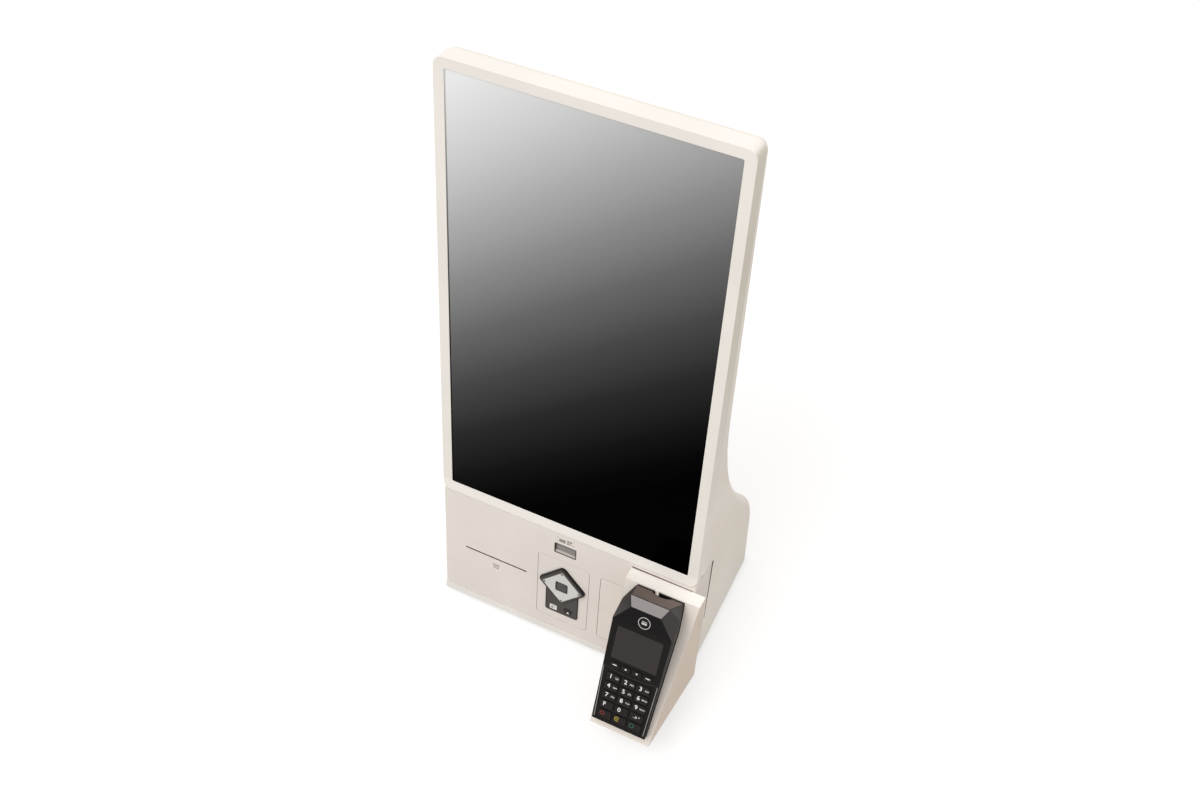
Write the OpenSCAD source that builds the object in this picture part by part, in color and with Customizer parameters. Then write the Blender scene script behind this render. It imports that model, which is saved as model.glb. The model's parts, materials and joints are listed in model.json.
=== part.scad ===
// Self-ordering kiosk for a shop counter. A tall touch display leans back on a deep base.
// The lower front is a door on a side hinge: it carries a code scanner, a contactless reader
// and a payment terminal in a sloping bracket, and the receipt printer stands behind it.

/* [Stand] */
// Depth of the base at its side walls
base_d = 211.4; // [196:0.2:260]
// Width of the base and of the rear housing
body_w = 365; // [361:0.5:366]
// Lean of the whole front, in degrees from upright
tilt = 15; // [12:0.5:18]
// Height of the rubber feet
foot_h = 4.4; // [3.6:0.1:8]
// Radius of the rubber feet
foot_r = 10; // [6:0.5:16]
// Distance of the feet from the edges of the base
foot_inset = 26; // [18:1:40]
// Thickness of the base tray
tray_t = 3; // [2:0.1:4]
// Height of the tray's front lip
lip_h = 10.4; // [8:0.1:16]
// Thickness of the tray's front lip
lip_t = 3; // [2:0.1:4]
// How far the lip stands in front of the door
lip_proud = 0.8; // [0.2:0.1:2]

/* [Display] */
// Visible width of the touch glass
glass_w = 340.3; // [336:0.1:342]
// Visible height of the touch glass
glass_h = 601.9; // [560:0.1:640]
// Bezel beside the glass
margin_side = 13.6; // [11:0.1:16]
// Bezel above the glass
margin_top = 13.2; // [11:0.1:24]
// Bezel below the glass
margin_bottom = 17.5; // [12:0.1:30]
// Depth of the bezel frame
bezel_d = 24; // [20:0.5:30]
// Side wall of the bezel frame
bezel_wall = 2.5; // [1.6:0.1:3]
// Corner radius of the bezel frame
bezel_r = 12; // [8:0.5:16]
// Corner radius of the visible glass
glass_r = 2; // [1:0.1:3]
// Step from the bezel's face down to the glass
glass_recess = 0.8; // [0.3:0.1:2]
// Thickness of the glass
glass_t = 3; // [2:0.1:4]
// Overlap of the glass behind the bezel rim
glass_lap = 3; // [2:0.1:5]
// Thickness of the display panel
panel_t = 11; // [8:0.5:13]
// Overlap of the display panel past the visible glass
panel_lap = 7; // [5:0.1:8]
// Thickness of the steel backplate
backplate_t = 1.5; // [1:0.1:2.5]
// Height of the standoffs under the main board
standoff_h = 5; // [3:0.5:7]

/* [Rear housing] */
// Wall of the rear housing
housing_wall = 3; // [2:0.1:3.4]
// Rounding of the housing's side edges
housing_r = 12; // [9:0.5:14]
// Depth of the back panel at the waist, measured from the front
waist_d = 39; // [36:0.5:46]
// Height of the waist above the display's lower edge
waist_up = 254; // [230:1:280]
// Height where the back swings out to the base
hip_z = 158; // [148:1:168]
// Height of the fullest part of the base
heel_z = 80; // [70:1:90]
// How far the base swells out there
heel_out = 11.3; // [8:0.1:14]
// Number of air slots in each row
vent_n = 13; // [5:1:15]
// Width of an air slot
vent_w = 3; // [2:0.1:4]
// Length of an air slot
vent_l = 26; // [16:1:36]
// Distance between air slots
vent_pitch = 9; // [6:0.5:12]
// Width of the rear service cover
cover_w = 190; // [150:1:230]
// Height of the rear service cover
cover_h = 50; // [44:1:56]
// Thickness of the rear service cover
cover_t = 2; // [1.5:0.1:3]
// Outer radius of the power inlet
inlet_r = 5.3; // [4.5:0.1:7]
// Socket radius of the power inlet
inlet_bore_r = 3.2; // [2.7:0.1:3.6]

/* [Door] */
// Height of the door
door_h = 184.7; // [180:0.1:200]
// Depth of the door's side walls
door_d = 53; // [50:0.5:56]
// Wall of the door
door_t = 3; // [2:0.1:3.4]
// Width of the door
door_w = 366; // [362:0.5:368]
// Gap around the door
seam = 0.8; // [0.5:0.1:1.4]
// Radius of the rounded hinge edge
hinge_r = 8; // [7:0.2:9]
// Extra room under the hinge side, for the swing over the tray
swing_gap = 1.4; // [1.2:0.1:2]
// Radius of the hinge pins
pin_r = 2; // [1.5:0.1:2.6]
// Running clearance of the hinge pins
pin_fit = 0.06; // [0.02:0.01:0.1]
// Middle of the receipt slot, across
slot_x = -103.3; // [-110:0.1:-98]
// Width of the receipt slot
slot_w = 94.4; // [84:0.1:96]
// Height of the receipt slot
slot_h = 2.2; // [1.6:0.1:4]
// Height of the receipt slot above the lip's foot
slot_up = 98.2; // [94:0.1:104]
// Width of the scanner opening
scan_w = 31.4; // [26:0.1:38]
// Height of the scanner opening
scan_h = 17.5; // [14:0.1:20]
// Distance from the scanner opening up to the door's top edge
scan_edge = 18.45; // [16:0.05:24]
// Width of the module plates
plate_w = 76; // [74:0.1:79]
// Height of the module plates
plate_h = 117; // [112:0.1:120]
// Corner radius of the module plates
plate_r = 5; // [3:0.1:8]
// Middle of the module plates above the lip's foot
plate_up = 87.7; // [84:0.1:91]
// Middle of the reader's plate, across
module_x = -1; // [-4:0.1:4]
// Middle of the blank plate, across
blank_x = 91.3; // [88:0.1:95]
// Gap round a module plate
plate_gap = 0.4; // [0.2:0.05:0.8]
// Width of the flange behind a module plate
plate_flange = 4; // [2:0.1:5]

/* [Contactless reader] */
// Side of the diamond frame
diamond_s = 51; // [46:0.1:53]
// Corner radius of the diamond frame
diamond_r = 6; // [3:0.1:8]
// Height of the diamond frame
diamond_h = 4.2; // [2.6:0.1:6]
// Side of the white diffuser
diffuser_s = 41.2; // [36:0.1:43]
// Drop of the diffuser's middle below the frame's
diffuser_drop = 1.8; // [0:0.1:2.4]
// Step from the frame's face down to the diffuser
diffuser_step = 0.3; // [0.1:0.05:0.8]
// Side of the dark lens
lens_s = 18.4; // [14:0.1:21]
// Corner radius of the dark lens
lens_r = 2.6; // [1:0.1:5]
// Step from the diffuser's face down to the lens
lens_step = 0.8; // [0.3:0.1:1.4]
// Height of the diamond's middle above the lip's foot
diamond_up = 101.7; // [99:0.1:104]
// Width of the dark base plate
house_w = 49; // [46:0.1:56]
// Lower edge of the dark base plate above the lip's foot
house_lo = 43.7; // [40:0.1:50]
// Thickness of the dark base plate
house_t = 1.2; // [0.8:0.1:2]
// Gap between fitted trim pieces
trim_gap = 0.2; // [0.1:0.05:0.4]

/* [Terminal bracket] */
// Middle of the bracket, across
bracket_x = 146.3; // [144:0.1:149]
// Top edge of the bracket above the lip's foot
bracket_up = 189.2; // [186:0.1:191]
// Lower edge of the bracket at the door
bracket_lo = 35.2; // [31:0.1:40]
// Depth of the bracket's flat top
bracket_top = 18; // [14:0.5:24]
// Length of the sloping face
bracket_len = 200; // [196:0.5:206]
// Angle between the sloping face and the door
bracket_angle = 30; // [28:0.5:32]
// Half the bracket's width at the door
bracket_half = 51.5; // [49:0.1:55]
// Half the bracket's width at its front edge
bracket_tip = 42; // [40:0.1:46]
// Wall of the bracket
bracket_t = 3; // [2:0.1:4]
// Depth of the recess for the terminal
pocket_h = 8; // [6:0.5:9]
// Clearance round the terminal in its recess
pocket_gap = 0.6; // [0.3:0.1:1]
// Radius of the bracket screws
screw_r = 2; // [1.5:0.1:2.5]

/* [Terminal] */
// Middle of the terminal, across the bracket
term_x = -1; // [-2:0.1:2]
// Length of the terminal along the slope
term_len = 186; // [180:0.5:190]
// Distance of the terminal's head from the bracket's top edge
term_start = 2; // [1.6:0.1:3]
// Half the terminal's width over the screen
term_half = 42; // [39:0.1:43]
// Half the terminal's width at its foot
term_foot = 37.7; // [36:0.1:38.4]
// Length of the head, from its end to the deck
head_len = 38; // [36:0.5:40]
// Length of the head's flat top
crest_len = 14; // [12:0.5:16]
// Half the width of the head's end edge
head_half = 27; // [24:0.5:29]
// Half the width of the head's crest
crest_half = 20.6; // [18:0.2:24]
// Height of the head's crest
crest_h = 45; // [42:0.5:48]
// Height of the deck below the head
deck_h = 40; // [36:0.5:41]
// Height of the deck at the foot
foot_end_h = 11; // [10:0.5:13]
// Wall of the terminal's cases
term_wall = 2; // [1.4:0.1:2.4]
// Height of the line between the two cases
parting_h = 2; // [1:0.1:3]
// Width of the terminal's screen
lens_w = 63; // [56:0.5:66]
// Height of the terminal's screen
lens_h = 47; // [42:0.5:49]
// Distance of the screen from the deck's upper edge
lens_start = 8; // [6:0.5:10]
// Thickness of the screen's lens
lens_t = 1.2; // [0.8:0.1:1.3]
// Distance between key columns
key_pitch_x = 20.8; // [20:0.1:22]
// Distance between key rows
key_pitch_y = 14.2; // [13.4:0.1:14.6]
// Width of a key
key_w = 17.8; // [15:0.1:18.4]
// Height of a key
key_h = 10.6; // [9:0.1:11]
// Distance between function keys
fkey_pitch = 15.3; // [14.6:0.1:16]
// Width of a function key
fkey_w = 12.4; // [10:0.1:12.8]
// Height of a function key
fkey_h = 6.6; // [5:0.1:7.4]
// Distance of the first key row from the deck's upper edge
key_start = 81.6; // [80:0.1:84]
// Distance of the function keys from the deck's upper edge
fkey_start = 63.4; // [62.4:0.1:65]
// How far the keys stand up from the deck
key_up = 1.8; // [1.3:0.1:2.4]
// Clearance round a key
key_gap = 0.35; // [0.25:0.05:0.5]
// Corner radius of a key
key_r = 1.4; // [0.8:0.1:2]

/* [Electronics] */
// Width of the main board
board_w = 170; // [150:1:190]
// Height of the main board
board_h = 130; // [110:1:150]
// Thickness of the boards
pcb_t = 1.6; // [1:0.1:2]
// Side of the heat sink
sink_s = 56; // [50:1:62]
// Height of the heat sink's fins
fin_h = 11; // [8:0.5:14]
// Thickness of a fin
fin_t = 1.4; // [1:0.1:2]
// Number of fins
fin_n = 9; // [6:1:11]
// Width of the power board
power_w = 90; // [84:1:96]
// Depth of the power board
power_d = 60; // [54:1:66]
// Radius of the power board's capacitors
cap_r = 8; // [6:0.5:9]
// Height of the power board's capacitors
cap_h = 24; // [16:0.5:30]

/* [Printer] */
// Width between the printer's side plates
printer_w = 90; // [86:0.5:92]
// Thickness of the printer's side plates
printer_t = 2.5; // [2:0.1:3]
// Radius of the platen roller
platen_r = 6; // [5:0.1:7]
// Radius of the platen's shaft
shaft_r = 3; // [2.4:0.1:3.4]
// Running clearance of shafts
shaft_fit = 0.05; // [0.02:0.01:0.1]
// Teeth of the platen's gear
gear_n = 24; // [24:24:24]
// Teeth of the motor's pinion
pinion_n = 16; // [16:16:16]
// Tooth size of the gears
gear_m = 1; // [0.9:0.02:1.06]
// Width of the gears
gear_w = 4; // [3:0.1:5]
// Radius of the motor
motor_r = 12; // [10:0.5:13]
// Length of the motor
motor_l = 24; // [18:0.5:30]
// Radius of the paper roll
roll_r = 32; // [26:0.5:33]
// Width of the paper roll
roll_w = 80; // [76:0.5:82]
// Radius of the paper roll's spindle
spindle_r = 6.2; // [5:0.1:8]
// Thickness of the cutter blade
blade_t = 1.6; // [1:0.1:2]
// Thickness of the printer lid
lid_t = 2; // [1.6:0.1:3]

/* [Hidden] */
$fn = 48;

key_rows = [["key_1", "key_2", "key_3"], ["key_4", "key_5", "key_6"], ["key_7", "key_8", "key_9"],
    ["key_menu", "key_0", "key_more"], ["key_cancel", "key_clear", "key_enter"]];
fkey_names = ["key_f1", "key_f2", "key_f3", "key_f4"];

// Each key: name, place across, place down the deck, width, height
keys = concat(
    [for (r = [0 : 4]) for (c = [0 : 2])
        [key_rows[r][c], (c - 1) * key_pitch_x, key_start + r * key_pitch_y, key_w, key_h]],
    [for (i = [0 : 3]) [fkey_names[i], (i - 1.5) * fkey_pitch, fkey_start, fkey_w, fkey_h]]);

ivory = [0.90, 0.87, 0.84];
pale = [0.95, 0.93, 0.90];
graphite = [0.28, 0.27, 0.26];
black = [0.10, 0.09, 0.09];
white = [0.93, 0.93, 0.92];
steel = [0.70, 0.71, 0.72];
rubber = [0.12, 0.12, 0.12];
board_green = [0.10, 0.32, 0.20];
paper_white = [0.96, 0.95, 0.92];
brass = [0.75, 0.62, 0.30];

// Heights up the sloping front
door_lo = lip_h + seam;
door_hi = door_lo + door_h;
disp_lo = door_hi + seam;
disp_h = margin_bottom + glass_h + margin_top;
disp_hi = disp_lo + disp_h;
disp_mid = (disp_lo + disp_hi) / 2;
glass_mid = disp_lo + margin_bottom + glass_h / 2;
bezel_w = glass_w + 2 * margin_side;
bezel_front = glass_recess + glass_t;
backplate_v = bezel_front + panel_t;
board_v = backplate_v + backplate_t + standoff_h;
tray_z = foot_h + tray_t;
door_back = door_d + seam;
scan_up = door_hi - scan_edge - scan_h / 2;
hinge_x = hinge_r - min(door_w, body_w) / 2;
hinge_out = hinge_x + door_w / 2;
hinge_v = door_d + seam / 2 - hinge_out;
swing_r = norm([hinge_out, hinge_r]) + seam;

// A point of the sloping front, v deep and w up the slope, as [y, z]
function front_yz(v, w) =
    [-base_d / 2 + v * cos(tilt) + w * sin(tilt), foot_h - v * sin(tilt) + w * cos(tilt)];
// Height up the slope at which the level z is met, v deep
function level_w(z, v) = (z - foot_h + v * sin(tilt)) / cos(tilt);
function unit(a) = a / norm(a);
function bez(p, t) = pow(1 - t, 3) * p[0] + 3 * t * pow(1 - t, 2) * p[1]
    + 3 * t * t * (1 - t) * p[2] + pow(t, 3) * p[3];
function bez_dir(p, t) = unit(pow(1 - t, 2) * (p[1] - p[0]) + 2 * t * (1 - t) * (p[2] - p[1])
    + t * t * (p[3] - p[2]));
// The normal that points backwards off a line that runs down
function off(d) = [-d[1], d[0]];
// Where the line through p along d meets the line through q along e
function meet(p, d, q, e) =
    p + d * (((q - p)[0] * e[1] - (q - p)[1] * e[0]) / (d[0] * e[1] - d[1] * e[0]));

// The sloping front's own frame: x across, y into the kiosk, z up the slope
module front() translate([0, -base_d / 2, foot_h]) rotate([-tilt, 0, 0]) children();

// Rounded rectangle
module rounded(w, h, r) {
    square([w - 2 * r, h], center = true);
    square([w, h - 2 * r], center = true);
    for (x = [-1, 1], y = [-1, 1]) translate([x * (w / 2 - r), y * (h / 2 - r)]) circle(r);
}

// A flat piece that faces the user, from v0 to v0 + t deep
module facing(v0, t) translate([0, v0 + t, 0]) rotate([90, 0, 0]) linear_extrude(t) children();

// A drawing of depth and height drawn out across the kiosk
module across(x0, len) translate([x0, 0, 0]) rotate([90, 0, 90]) linear_extrude(len) children();

// Skin over a row of closed rings, each ring clockwise seen from the last one. The ends are
// closed with strips between the first and the second half of a ring.
module loft(rings) {
    n = len(rings[0]);
    last = (len(rings) - 1) * n;
    strips = [for (k = [0 : n / 2 - 2]) [k, k + 1, n - 2 - k, n - 1 - k]];
    polyhedron(
        points = [for (r = rings) for (p = r) p],
        faces = concat(
            [for (q = strips) [q[2], q[1], q[0]]],
            [for (q = strips) [q[3], q[2], q[0]]],
            [for (q = strips) [last + q[0], last + q[1], last + q[2]]],
            [for (q = strips) [last + q[0], last + q[2], last + q[3]]],
            [for (j = [0 : n : last - n]) for (i = [0 : n - 1])
                [j + i, j + (i + 1) % n, j + n + (i + 1) % n]],
            [for (j = [0 : n : last - n]) for (i = [0 : n - 1])
                [j + i, j + n + (i + 1) % n, j + n + i]]));
}

// Base

rear_y = base_d / 2 + housing_r;
bolt_y = [-base_d * 0.16, base_d * 0.18, base_d * 0.42];
bolt_x = body_w / 2 - housing_wall - 7.5;
bolt_r = 1.5;
bolt_gap = 0.05;
boss_r = 4.5;
boss_h = 16;

module tray_plan() {
    translate([-body_w / 2, -base_d / 2 + 1]) square([body_w, base_d - 1]);
    translate([-body_w / 2 + housing_r, 0]) square([body_w - 2 * housing_r, rear_y]);
    for (x = [-1, 1]) translate([x * (body_w / 2 - housing_r), base_d / 2]) circle(housing_r);
}

module base_tray() color(pale) difference() {
    union() {
        translate([0, 0, foot_h]) linear_extrude(tray_t) tray_plan();
        front() translate([-door_w / 2, -lip_proud, 0]) cube([door_w, lip_t + lip_proud, lip_h]);
        intersection() {
            front() translate([hinge_x, hinge_v, -10]) cylinder(r = pin_r + 3.4, h = 40);
            translate([hinge_x - 20, -base_d, foot_h * 0.35])
                cube([40, base_d, foot_h * 0.65 + tray_t]);
        }
    }
    front() translate([hinge_x, hinge_v, -20]) cylinder(r = pin_r + pin_fit, h = 60);
    for (x = [-1, 1], y = bolt_y)
        translate([x * bolt_x, y, foot_h - 1]) cylinder(r = bolt_r + bolt_gap, h = tray_t + 2);
}

module rubber_feet() color(rubber) {
    for (x = [-1, 1], y = [-1, 1])
        translate([x * (body_w / 2 - foot_inset), y * (base_d / 2 - foot_inset), 0])
            cylinder(r = foot_r, h = foot_h);
    cylinder(r = 2 * foot_r, h = foot_h);
}

// Rear housing

core_e = 3;
base_e = core_e + housing_wall;
top_e = base_e + housing_r;
shelf_gap = 0.4;
crown_w = disp_hi - 0.5 - top_e;
crown = front_yz(bezel_d, crown_w);
waist = front_yz(waist_d - base_e, disp_lo + waist_up);
hip_dir = [cos(58.7), -sin(58.7)];
hip = [base_d / 2 - 2.7, hip_z] - base_e * off(hip_dir);
heel = [base_d / 2 + heel_out, heel_z] - base_e * [cos(8.6), -sin(8.6)];
toe = [base_d / 2 - base_e, tray_z];
back_dir = unit(waist - crown);
heel_dir = unit(toe - heel);
waist_curve = [waist, waist + 95 * back_dir, hip - 110 * hip_dir, hip];
hip_curve = [hip, hip + 32 * hip_dir, heel - 32 * heel_dir, heel];
back_a = atan2(off(back_dir)[1], off(back_dir)[0]);

// The back's outline, e outside its base line: from v deep over the crown, down the waist and the
// heel, to a foot at the level z
function back_line(e, v, z) = concat([front_yz(v, crown_w + e)],
    [for (k = [1 : 4]) let (a = 90 - tilt + (back_a - 90 + tilt) * k / 4) crown + e * [cos(a), sin(a)]],
    [for (k = [0 : 9]) bez(waist_curve, k / 9) + e * off(bez_dir(waist_curve, k / 9))],
    [for (k = [1 : 6]) bez(hip_curve, k / 6) + e * off(bez_dir(hip_curve, k / 6))],
    [[toe[0] + e, z]]);
// The front's outline from its foot up: v_low deep to the step, then v_top deep to the crown
function front_line(v_low, v_top, step, z) = concat(
    [for (k = [6 : -1 : 0]) front_yz(v_low, step + (level_w(z, v_low) - step) * k / 6)],
    [for (k = [14 : -1 : 0]) front_yz(v_top, crown_w - 4 + (step - crown_w + 4) * k / 14)]);
function ring(x, outline) = [for (p = outline) [x, p[0], p[1]]];
function shell_outline(e) =
    concat(back_line(e, bezel_d, tray_z), front_line(door_back, bezel_d, disp_lo, tray_z));
function hollow_outline(e) = concat(back_line(e, bezel_d - 2, -tray_z),
    front_line(door_back - 2, bezel_d - 2, disp_lo - 2, -tray_z));
// Steps of the rounded side edges: place across and offset of the outline
function edge_steps(half, e0) = [for (k = [0 : 4])
    [half - housing_r * (1 - cos(22.5 * k)), e0 + housing_r * sin(22.5 * k)]];
function both_edges(half, e0) = let (s = edge_steps(half, e0)) concat(
    [for (k = [0 : 4]) [-s[k][0], s[k][1]]], [for (k = [4 : -1 : 0]) s[k]]);

// The rear wall's own frame: x across, y out of the wall, z up the wall from its foot
wall_foot = toe + [top_e, 0];
wall_head = heel + top_e * off(heel_dir);
wall_lean = atan2(wall_head[0] - wall_foot[0], wall_head[1] - wall_foot[1]);
module rear_wall() translate([0, wall_foot[0], wall_foot[1]]) rotate([-wall_lean, 0, 0]) children();
cover_up = 42;
cover_screw = [cover_w / 2 - 9, cover_h / 2 - 7];
inlet_x = body_w / 2 - 50;
inlet_up = 32;
vent_up = [disp_h - 90, disp_h - 90 - vent_l - 12];

module rear_housing() color(ivory) difference() {
    union() {
        difference() {
            loft([for (s = both_edges(body_w / 2, base_e)) ring(s[0], shell_outline(s[1]))]);
            loft([for (s = both_edges(body_w / 2 - housing_wall, core_e))
                ring(s[0], hollow_outline(s[1]))]);
        }
        front() translate([1 - body_w / 2, bezel_d + 0.6, disp_lo + shelf_gap])
            cube([body_w - 2, door_back - bezel_d + 1, housing_wall]);
        for (x = [-1, 1], y = bolt_y) translate([x * bolt_x, y, tray_z]) {
            cylinder(r = boss_r, h = boss_h);
            translate([x > 0 ? 0 : -9, -1.5, 0]) cube([9, 3, boss_h]);
        }
    }
    for (x = [-1, 1], y = bolt_y)
        translate([x * bolt_x, y, tray_z - 1]) cylinder(r = bolt_r + bolt_gap, h = boss_h - 2);
    front() translate([hinge_x, hinge_v, disp_lo - 2 * housing_wall])
        cylinder(r = pin_r + 0.6, h = 4 * housing_wall);
    for (i = [0 : vent_n - 1], u = vent_up)
        front() translate([(i - (vent_n - 1) / 2) * vent_pitch - vent_w / 2, bezel_d + 2, disp_lo + u])
            cube([vent_w, 60, vent_l]);
    rear_wall() {
        translate([inlet_x, 5, inlet_up]) rotate([90, 0, 0]) cylinder(r = inlet_r + trim_gap, h = 20);
        translate([-cover_w / 2 + 18, -10, cover_up - cover_h / 2 + 12])
            cube([cover_w - 36, 20, cover_h - 24]);
        for (x = [-1, 1], z = [-1, 1]) translate([x * cover_screw[0], 5, cover_up + z * cover_screw[1]])
            rotate([90, 0, 0]) cylinder(r = bolt_r + bolt_gap, h = 20);
    }
}

module rear_cover() color(ivory) rear_wall() difference() {
    translate([0, 0, cover_up]) facing(0, cover_t) rounded(cover_w, cover_h, 6);
    for (x = [-1, 1], z = [-1, 1]) translate([x * cover_screw[0], 5, cover_up + z * cover_screw[1]])
        rotate([90, 0, 0]) cylinder(r = bolt_r + bolt_gap, h = 20);
}

module screw(r, shank, head_r, head_h) {
    cylinder(r = r, h = shank);
    translate([0, 0, -head_h]) cylinder(r = head_r, h = head_h);
}

module case_screws() color(steel) {
    for (x = [-1, 1], y = bolt_y) translate([x * bolt_x, y, foot_h]) screw(bolt_r, tray_t + 10, 3, 2);
    rear_wall() for (x = [-1, 1], z = [-1, 1])
        translate([x * cover_screw[0], cover_t, cover_up + z * cover_screw[1]])
            rotate([90, 0, 0]) screw(bolt_r, cover_t + housing_wall + 2, 3, 1.6);
}

module power_inlet() color(black) rear_wall() translate([inlet_x, 0, inlet_up]) rotate([90, 0, 0]) {
    difference() {
        union() {
            translate([0, 0, -1]) cylinder(r = inlet_r + 2, h = 1);
            cylinder(r = inlet_r, h = 14);
        }
        translate([0, 0, -2]) cylinder(r = inlet_bore_r, h = 12);
    }
    translate([0, 0, 1]) cylinder(r = inlet_bore_r * 0.38, h = 10);
}

// Display

module display_bezel() color(ivory) front() difference() {
    translate([0, 0, disp_mid]) facing(0, bezel_d) rounded(bezel_w, disp_h, bezel_r);
    translate([0, 0, disp_mid]) facing(bezel_front, bezel_d)
        rounded(bezel_w - 2 * bezel_wall, disp_h - 2 * bezel_wall, bezel_r - bezel_wall);
    translate([0, 0, glass_mid]) {
        facing(-1, bezel_front + 2) rounded(glass_w, glass_h, glass_r);
        facing(glass_recess, bezel_front)
            rounded(glass_w + 2 * glass_lap, glass_h + 2 * glass_lap, glass_r + 1);
    }
}

module touch_glass() color(black) front() translate([0, 0, glass_mid]) facing(glass_recess, glass_t)
    rounded(glass_w + 2 * (glass_lap - trim_gap), glass_h + 2 * (glass_lap - trim_gap), glass_r + 0.8);

module lcd_panel() color(steel) front() translate([0, 0, glass_mid]) facing(bezel_front, panel_t)
    rounded(glass_w + 2 * panel_lap, glass_h + 2 * panel_lap, 2);

board_rise = 205;
board_up = disp_lo + board_rise;
standoff_in = 6;
standoff_r = 3;
board_hole = [board_w / 2 - standoff_in, board_h / 2 - standoff_in];
vesa_half = 50;
vesa_rise = 60;
vesa_r = 2.2;
port_w = 16;
port_h = 30;
port_d = 9;
memory_t = 6;
memory_d = 5;
memory_l = 70;

module display_backplate() color(steel) front() {
    difference() {
        translate([0, 0, disp_mid]) facing(backplate_v, backplate_t) rounded(
            bezel_w - 2 * bezel_wall - 2 * trim_gap, disp_h - 2 * bezel_wall - 2 * trim_gap,
            bezel_r - bezel_wall - trim_gap);
        for (x = [-1, 1], z = [-1, 1])
            translate([x * vesa_half, backplate_v - 1, disp_mid + vesa_rise + z * vesa_half])
                rotate([-90, 0, 0]) cylinder(r = vesa_r, h = backplate_t + 2);
    }
    for (x = [-1, 1], z = [-1, 1])
        translate([x * board_hole[0], backplate_v + backplate_t, board_up + z * board_hole[1]])
            rotate([-90, 0, 0]) cylinder(r = standoff_r, h = standoff_h);
}

module main_board() color(board_green) front() translate([0, 0, board_up]) {
    facing(board_v, pcb_t) square([board_w, board_h], center = true);
    for (i = [0, 1])
        translate([1.5 * i * port_w - board_w / 2 + 2 * port_d, board_v + pcb_t, port_d - board_h / 2])
            cube([port_w, port_d, port_h]);
    for (i = [0, 1])
        translate([board_w / 2 - standoff_in - (4 - 2 * i) * memory_t, board_v + pcb_t, -memory_l / 2])
            cube([memory_t, memory_d, memory_l]);
}

sink_x = -20;
sink_rise = 22;
sink_t = 2.5;
module heat_sink() color(steel) front() translate([sink_x, board_v + pcb_t, board_up + sink_rise]) {
    translate([-sink_s / 2, 0, -sink_s / 2]) cube([sink_s, sink_t, sink_s]);
    for (i = [0 : fin_n - 1])
        translate([-sink_s / 2 + i * (sink_s - fin_t) / (fin_n - 1), 0, -sink_s / 2])
            cube([fin_t, fin_h, sink_s]);
}

power_x = 62;
power_y = 36;
power_leg = 6;
coil_w = 20;
coil_d = 26;
coil_h = 16;
module power_board() color(board_green) translate([power_x, power_y, tray_z]) {
    for (x = [power_leg, power_w - power_leg], y = [power_leg, power_d - power_leg])
        translate([x, y, 0]) cylinder(r = standoff_r, h = power_leg);
    translate([0, 0, power_leg]) cube([power_w, power_d, pcb_t]);
    translate([0, power_d / 2, power_leg + pcb_t]) {
        for (i = [1, 2]) translate([i * (2 * cap_r + power_leg), 0, 0]) cylinder(r = cap_r, h = cap_h);
        translate([power_w - 1.5 * coil_w, -coil_d / 2, 0]) cube([coil_w, coil_d, coil_h]);
    }
}

// Door

// The door's plan: front panel, side walls and the rounded hinge edge
module door_plan() {
    r = 2.5;
    translate([-door_w / 2 + r, 0]) square([door_w - 2 * r, door_t]);
    for (x = [-1, 1]) translate([x * (door_w / 2 - r), r]) circle(r);
    translate([-door_w / 2, r]) square([door_t, hinge_v - r]);
    translate([door_w / 2 - door_t, r]) square([door_t, door_d - r]);
    translate([-door_w / 2, hinge_v - door_t / 2]) square([hinge_out, door_t]);
    translate([hinge_x, hinge_v]) circle(hinge_r);
}

bracket_screws_at = [for (x = [bracket_x - 6, bracket_x + 26], w = [bracket_lo + 25, bracket_up - 24])
    [x, w]];

module door_hole(x, w, r) translate([x, -1, w]) rotate([-90, 0, 0]) cylinder(r = r, h = door_t + 2);

module front_door() color(ivory) front() difference() {
    union() {
        translate([0, 0, door_lo]) linear_extrude(door_h) door_plan();
        translate([hinge_x, 1, door_hi - 2.5]) cube([door_w / 2 - door_t / 2 - hinge_x, door_d - 2, 2.5]);
        translate([-door_w / 2 + 1, 1, door_lo]) cube([door_w - 2, 22, 2.5]);
    }
    rotate([tilt, 0, 0]) translate([-door_w, -base_d / 2, -base_d / 4])
        cube([2 * door_w, base_d, base_d / 4 + tray_t + seam]);
    rotate([tilt, 0, 0]) translate([-door_w, -base_d / 2, -base_d / 4])
        cube([door_w + hinge_x + hinge_r, base_d, base_d / 4 + tray_t + seam + swing_gap]);
    translate([hinge_x, hinge_v, 0])
        cylinder(r = swing_r, h = level_w(tray_z, hinge_v + hinge_out + seam) + seam);
    translate([0, 0, slot_up]) translate([slot_x, 0, 0]) facing(-1, door_t + 2)
        square([slot_w, slot_h], center = true);
    across(-scan_w / 2, scan_w) polygon([[-1, scan_up - scan_h / 2 - 0.8], [-1, scan_up + scan_h / 2],
        [door_t + 1, scan_up + scan_h / 2], [door_t + 1, scan_up - scan_h / 2 + 4.2]]);
    for (x = [module_x, blank_x]) translate([x, 0, plate_up]) facing(-1, door_t + 2)
        rounded(plate_w + 2 * plate_gap, plate_h + 2 * plate_gap, plate_r + plate_gap);
    for (p = bracket_screws_at) door_hole(p[0], p[1], screw_r + bolt_gap);
    door_hole(cable_x, cable_up, cable_r);
    translate([hinge_x, hinge_v, door_lo - 1]) cylinder(r = pin_r, h = 24);
    translate([hinge_x, hinge_v, door_hi - 15]) cylinder(r = pin_r, h = 24);
}

module hinge_pins() color(steel) front() {
    translate([hinge_x, hinge_v, door_lo - 1]) cylinder(r = pin_r, h = 23.5);
    translate([hinge_x, hinge_v, door_hi - 15]) cylinder(r = pin_r, h = 27);
}

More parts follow.
